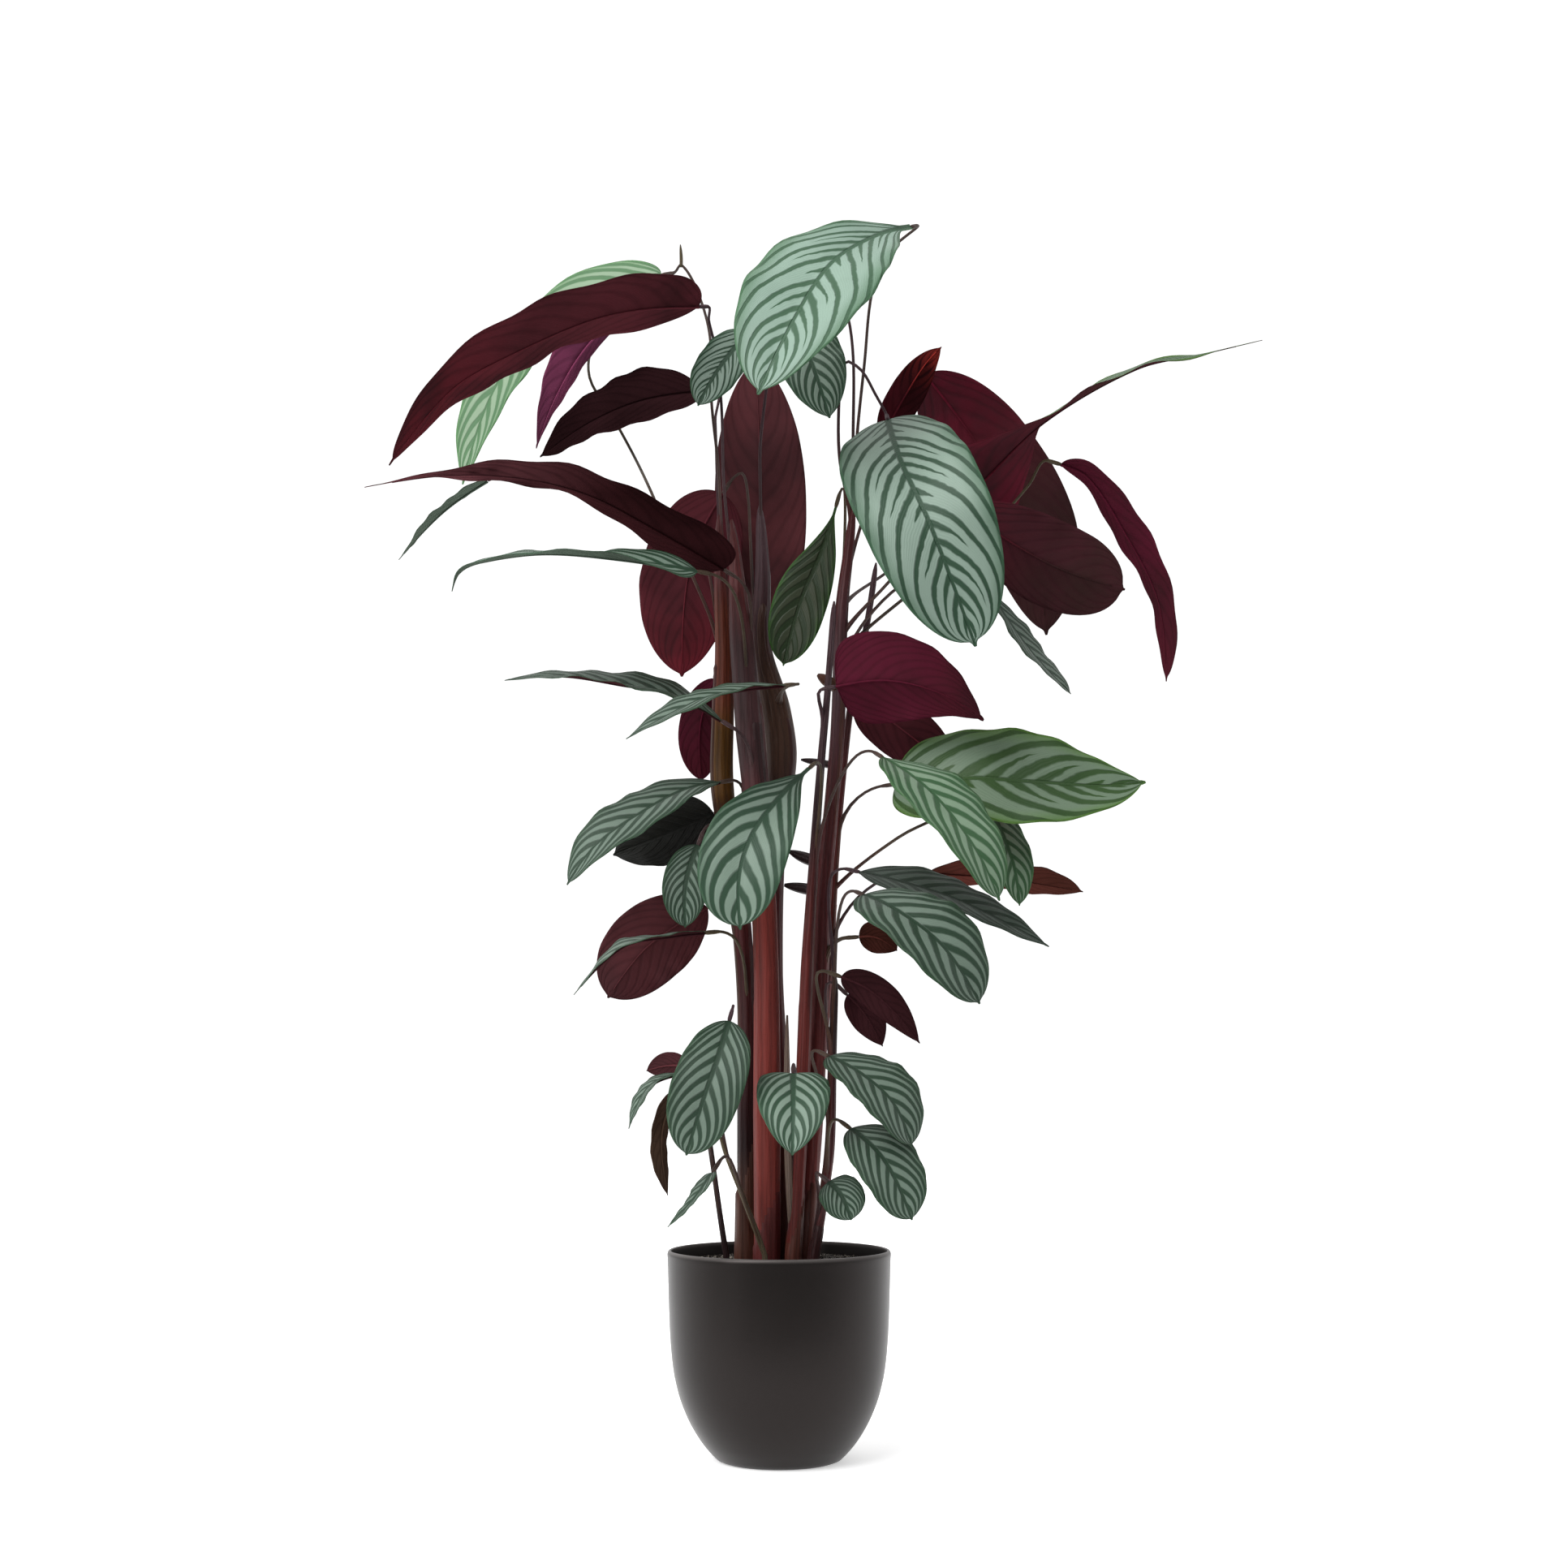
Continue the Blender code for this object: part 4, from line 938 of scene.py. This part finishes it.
def add_strand(bm, leaf, order, path, radii, heights):
    """A leaf's sheath, which stands out from its cane as one strand and becomes the stalk."""
    points, ahead, _ = rib_frames(leaf)
    stalk = stalk_path(leaf, points[0], ahead[0])
    low = [i for i, h in enumerate(heights) if leaf.height - SHEATH_LENGTH < h < leaf.height - 4]
    exit_radius = radii[low[-1]] if low else radii[0]
    up = (path[-1] - path[0]).normalized()
    away = stalk[len(stalk) // 3] - stalk[0]
    away = (away - up * away.dot(up)).normalized()
    away = Matrix.Rotation(STRAND_TURN * (order % 3 - 1), 3, up) @ away
    colour = named_tone(STRAND_TONES[(order * 2 + len(leaf.cane)) % len(STRAND_TONES)])
    route, out_radii, out_tones = [], [], []
    for k, i in enumerate(low):
        grown = min(1.0, 2.0 * k / len(low))
        route.append(path[i] + away * radii[i] * STRAND_OUT * grown)
        out_radii.append(radii[i] * (1.0 - (1.0 - STRAND_SHARE) * grown) - 0.3 * (1.0 - grown))
        out_tones.append(blend_tones(CANE_TONES[leaf.cane], heights[i]).lerp(colour, 0.7 * grown))
    base_tone = out_tones[-1] if low else colour
    tip_tone = named_tone("mauve").lerp(named_tone("olive"), (order * 0.37) % 1.0)
    run = run_along(stalk)
    for point, gone in zip(stalk, run):
        route.append(point + away * exit_radius * STRAND_OUT * let_go(gone))
        out_radii.append(stalk_radius(gone, run[-1], exit_radius * STRAND_SHARE))
        out_tones.append(base_tone.lerp(tip_tone, min(1.0, gone / (run[-1] * 0.5 + 1))))
    roll_tube(bm, route, out_radii, STRAND_SIDES, out_tones, ridge=0.10)


def build_stem(name, cane, finish):
    """A cane with its old sheaths, its leaves' strands and stalks, and its bare shoots."""
    bm = bmesh.new()
    path, radii = cane_path(cane)
    heights = [EYE.z + (p.z - EYE.z) * -EYE.y / (p.y - EYE.y) for p in path]
    tones = [blend_tones(CANE_TONES[name], h) for h in heights]
    roll_tube(bm, path, radii, CANE_SIDES, tones, ridge=0.06)
    own = sorted((leaf for leaf in LEAVES if leaf.cane == name), key=lambda leaf: -leaf.height)
    for order, leaf in enumerate(own):
        add_strand(bm, leaf, order, path, radii, heights)
    for cane_name, top, extra, side, tone in OLD_SHEATHS:
        if cane_name == name:
            rows = [i for i, h in enumerate(heights) if h < top]
            wrap = [radii[i] + extra * (1.0 - 0.5 * k / len(rows)) for k, i in enumerate(rows)]
            skin = [tones[i].lerp(named_tone(tone), SHEATH_TINT) for i in rows]
            mouth = ([radii[i] * 0.9 for i in rows], side, MOUTH_DEPTH)
            roll_tube(bm, [path[i] for i in rows], wrap, CANE_SIDES, skin, ridge=0.08, mouth=mouth)
    for (cane_name, radius, points), tone in zip(SHOOTS, SHOOT_TONES):
        if cane_name == name:
            spine = smooth_path([place(*p) for p in points], SHOOT_STEPS)
            swell = [radius * (1.0 - 0.75 * (i / (SHOOT_STEPS - 1)) ** 4) for i in range(SHOOT_STEPS)]
            roll_tube(bm, spine, swell, SHOOT_SIDES, [named_tone(tone)] * SHOOT_STEPS, ridge=0.1)
    add_piece("stem_" + name + "_skin", bm, [finish], "stem_" + name)


def turned(profile, steps):
    """A solid of revolution about Z from a profile that starts and ends on the axis."""
    bm = bmesh.new()
    verts = [bm.verts.new((r * MM, 0.0, z * MM)) for r, z in profile]
    edges = [bm.edges.new(pair) for pair in zip(verts, verts[1:])]
    bmesh.ops.spin(
        bm, geom=verts + edges, cent=(0, 0, 0), axis=(0, 0, 1), angle=2 * pi, steps=steps,
        use_merge=True, use_duplicate=False,
    )
    bmesh.ops.remove_doubles(bm, verts=bm.verts, dist=0.000005)
    bmesh.ops.recalc_face_normals(bm, faces=bm.faces)
    for face in bm.faces:
        face.smooth = True
    return bm


def rounded(points, count):
    """A smooth run of (radius, height) through the given ones."""
    return [(p.x, p.z) for p in smooth_path([Vector((r, 0.0, z)) for r, z in points], count)]


def build_pot(finish):
    """The planter's shell: inside, lip, outside and foot, turned in one."""
    inside = []
    for r, z in reversed(POT_WALL_OUTSIDE[:-2]):
        inside.append((r - POT_WALL, z + POT_WALL * max(0.0, (60.0 - z) / 60.0)))
    lip = []
    for i in range(LIP_STEPS + 1):
        angle = pi * (1 - i / LIP_STEPS)
        wide, high = (POT_WALL - LIP_ROUND, LIP_INNER) if 2 * i < LIP_STEPS else (LIP_ROUND, LIP_OUTER)
        r = POT_RIM_RADIUS - LIP_ROUND + wide * cos(angle)
        lip.append((r, POT_HEIGHT - high + high * sin(angle)))
    base = [
        (POT_BASE_RADIUS + 2.2, 0.7), (POT_BASE_RADIUS, 0.0), (POT_BASE_RADIUS - 2.0, 0.0),
        (POT_BASE_RADIUS - 4.0, 1.2), (0.0, 1.2),
    ]
    profile = [(0.0, POT_FLOOR), (POT_BASE_RADIUS - 2.0, POT_FLOOR)]
    profile += rounded(inside + [lip[0]], 40)[:-1] + lip
    profile += rounded([lip[-1]] + POT_WALL_OUTSIDE, 60)[1:] + base
    add_piece("pot_shell", turned(profile, POT_STEPS), [finish], "pot")


def soil_height(x, y):
    """The soil's uneven top, in millimetres."""
    r = hypot(x, y)
    p = Vector((x * 0.045, y * 0.045, 2.0))
    q = Vector((x * 0.21, y * 0.21, 7.0))
    edge = max(0.0, (r - SOIL_FALL_START) / (SOIL_RADIUS - SOIL_FALL_START))
    rough = noise.noise(p) + 0.45 * noise.noise(q)
    return SOIL_TOP - 0.5 - SOIL_FALL * edge + SOIL_BUMP * rough * (1.0 - 0.4 * edge)


def build_soil(finish, crumb_finish):
    """The bed of soil with its uneven top, and the loose crumbs that lie on it."""
    top = [(SOIL_RADIUS * i / SOIL_RINGS, SOIL_TOP) for i in range(SOIL_RINGS + 1)]
    low = [(r - POT_WALL - 0.4, z) for r, z in POT_WALL_OUTSIDE[1:-3]]
    low += [(POT_BASE_RADIUS - 3.0, SOIL_FLOOR), (0.0, SOIL_FLOOR)]
    bm = turned(top + low, SOIL_STEPS)
    for vert in bm.verts:
        if vert.co.z > (SOIL_TOP - 1) * MM:
            vert.co.z = soil_height(vert.co.x / MM, vert.co.y / MM) * MM
    add_piece("soil_bed", bm, [finish], "soil")
    draw = random.Random(DRAW_SEED)
    bm = bmesh.new()
    for _ in range(CRUMBS):
        r = (SOIL_RADIUS - 3.0) * sqrt(draw.random())
        angle = draw.uniform(0, 2 * pi)
        size = draw.uniform(*CRUMB_SIZES) ** 1.4
        x, y = r * cos(angle), r * sin(angle)
        spot = Vector((x, y, soil_height(x, y) + size * 0.15)) * MM
        turn_angle = draw.uniform(0, 6.28)
        turn_axis = Vector((draw.random(), draw.random(), draw.random() + 0.1))
        turn = Matrix.Rotation(turn_angle, 4, turn_axis)
        shape = Matrix.Diagonal((1.0, draw.uniform(0.5, 1.0), draw.uniform(0.35, 0.9), 1.0))
        made = bmesh.ops.create_icosphere(
            bm, subdivisions=1, radius=size * MM, matrix=Matrix.Translation(spot) @ turn @ shape
        )
        pale = draw.random() < PALE_CRUMBS
        for face in {face for vert in made["verts"] for face in vert.link_faces}:
            face.material_index = 1 if pale else 0
    add_piece("soil_crumbs", bm, [finish, crumb_finish], None)


def add_light(name, kind, energy, way):
    """A lamp that shines this way."""
    lamp = bpy.data.lights.new(name, kind)
    lamp.energy = energy
    light = add_object(name, lamp)
    light.rotation_euler = Vector(way).to_track_quat("-Z", "Y").to_euler()
    return light


def build_stage():
    """A plain pale floor and surround, soft lights and the camera."""
    scene = bpy.context.scene
    white = (1.0, 1.0, 1.0, 1.0)
    bm = bmesh.new()
    bmesh.ops.create_circle(
        bm, cap_ends=True, radius=FLOOR_RADIUS, segments=96, matrix=Matrix.Translation((0, FLOOR_BACK, 0))
    )
    floor = add_object("floor", as_mesh("floor", bm))
    finish = Finish("floor_pale")
    finish.feed("Base Color", (0.94, 0.94, 0.94, 1.0))
    finish.feed("Roughness", 0.9)
    finish.feed("Emission Color", white)
    finish.feed("Emission Strength", FLOOR_GLOW)
    floor.data.materials.append(finish.owner)

    studio = Finish("studio", bpy.data.worlds, "Background")
    scene.world = studio.owner
    back = studio.parts(studio.node("TexCoord", {}, {}, "Generated"))[1]
    span = {"Value": back, "From Min": -0.9, "From Max": 0.2, "To Min": AMBIENT_FRONT, "To Max": AMBIENT_BACK}
    ambient = studio.node("MapRange", {"interpolation_type": "SMOOTHSTEP"}, span)
    seen = studio.node("LightPath", {}, {}, "Is Camera Ray")
    level = studio.node("MapRange", {}, {"Value": seen, "To Min": ambient, "To Max": BACKDROP})
    studio.feed("Color", white)
    studio.feed("Strength", level)

    key = add_light("key", "SUN", KEY_LIGHT, KEY_WAY)
    key.data.angle = radians(KEY_SPREAD)
    box = add_light("soft_box", "AREA", BOX_LIGHT, BOX_WAY)
    box.data.shape = "RECTANGLE"
    box.data.size, box.data.size_y = BOX_SIZE
    box.location = BOX_PLACE

    camera = add_object("camera", bpy.data.cameras.new("camera"))
    camera.data.sensor_width = SENSOR
    camera.data.lens = LENS
    camera.location = EYE * MM
    camera.rotation_euler = (radians(CAMERA_TURN), 0.0, 0.0)
    scene.camera = camera
    scene.view_settings.view_transform = "Standard"


def main():
    rib = rib_finish()
    tops = {name: upper_side(name, *look) for name, look in UPPER_SIDES.items()}
    unders = {name: underside(name, *look[:-1]) for name, look in UNDERSIDES.items()}
    for leaf in LEAVES:
        build_leaf(leaf, [tops[leaf.top], unders[leaf.under], rib])
    skin = stem_finish()
    for name, cane in CANES.items():
        build_stem(name, cane, skin)
    build_pot(pot_finish())
    soil = soil_finish("potting_soil", SOIL_TONES, 1.0)
    build_soil(soil, soil_finish("pale_crumbs", CRUMB_TONES, 0.6))
    build_stage()


main()
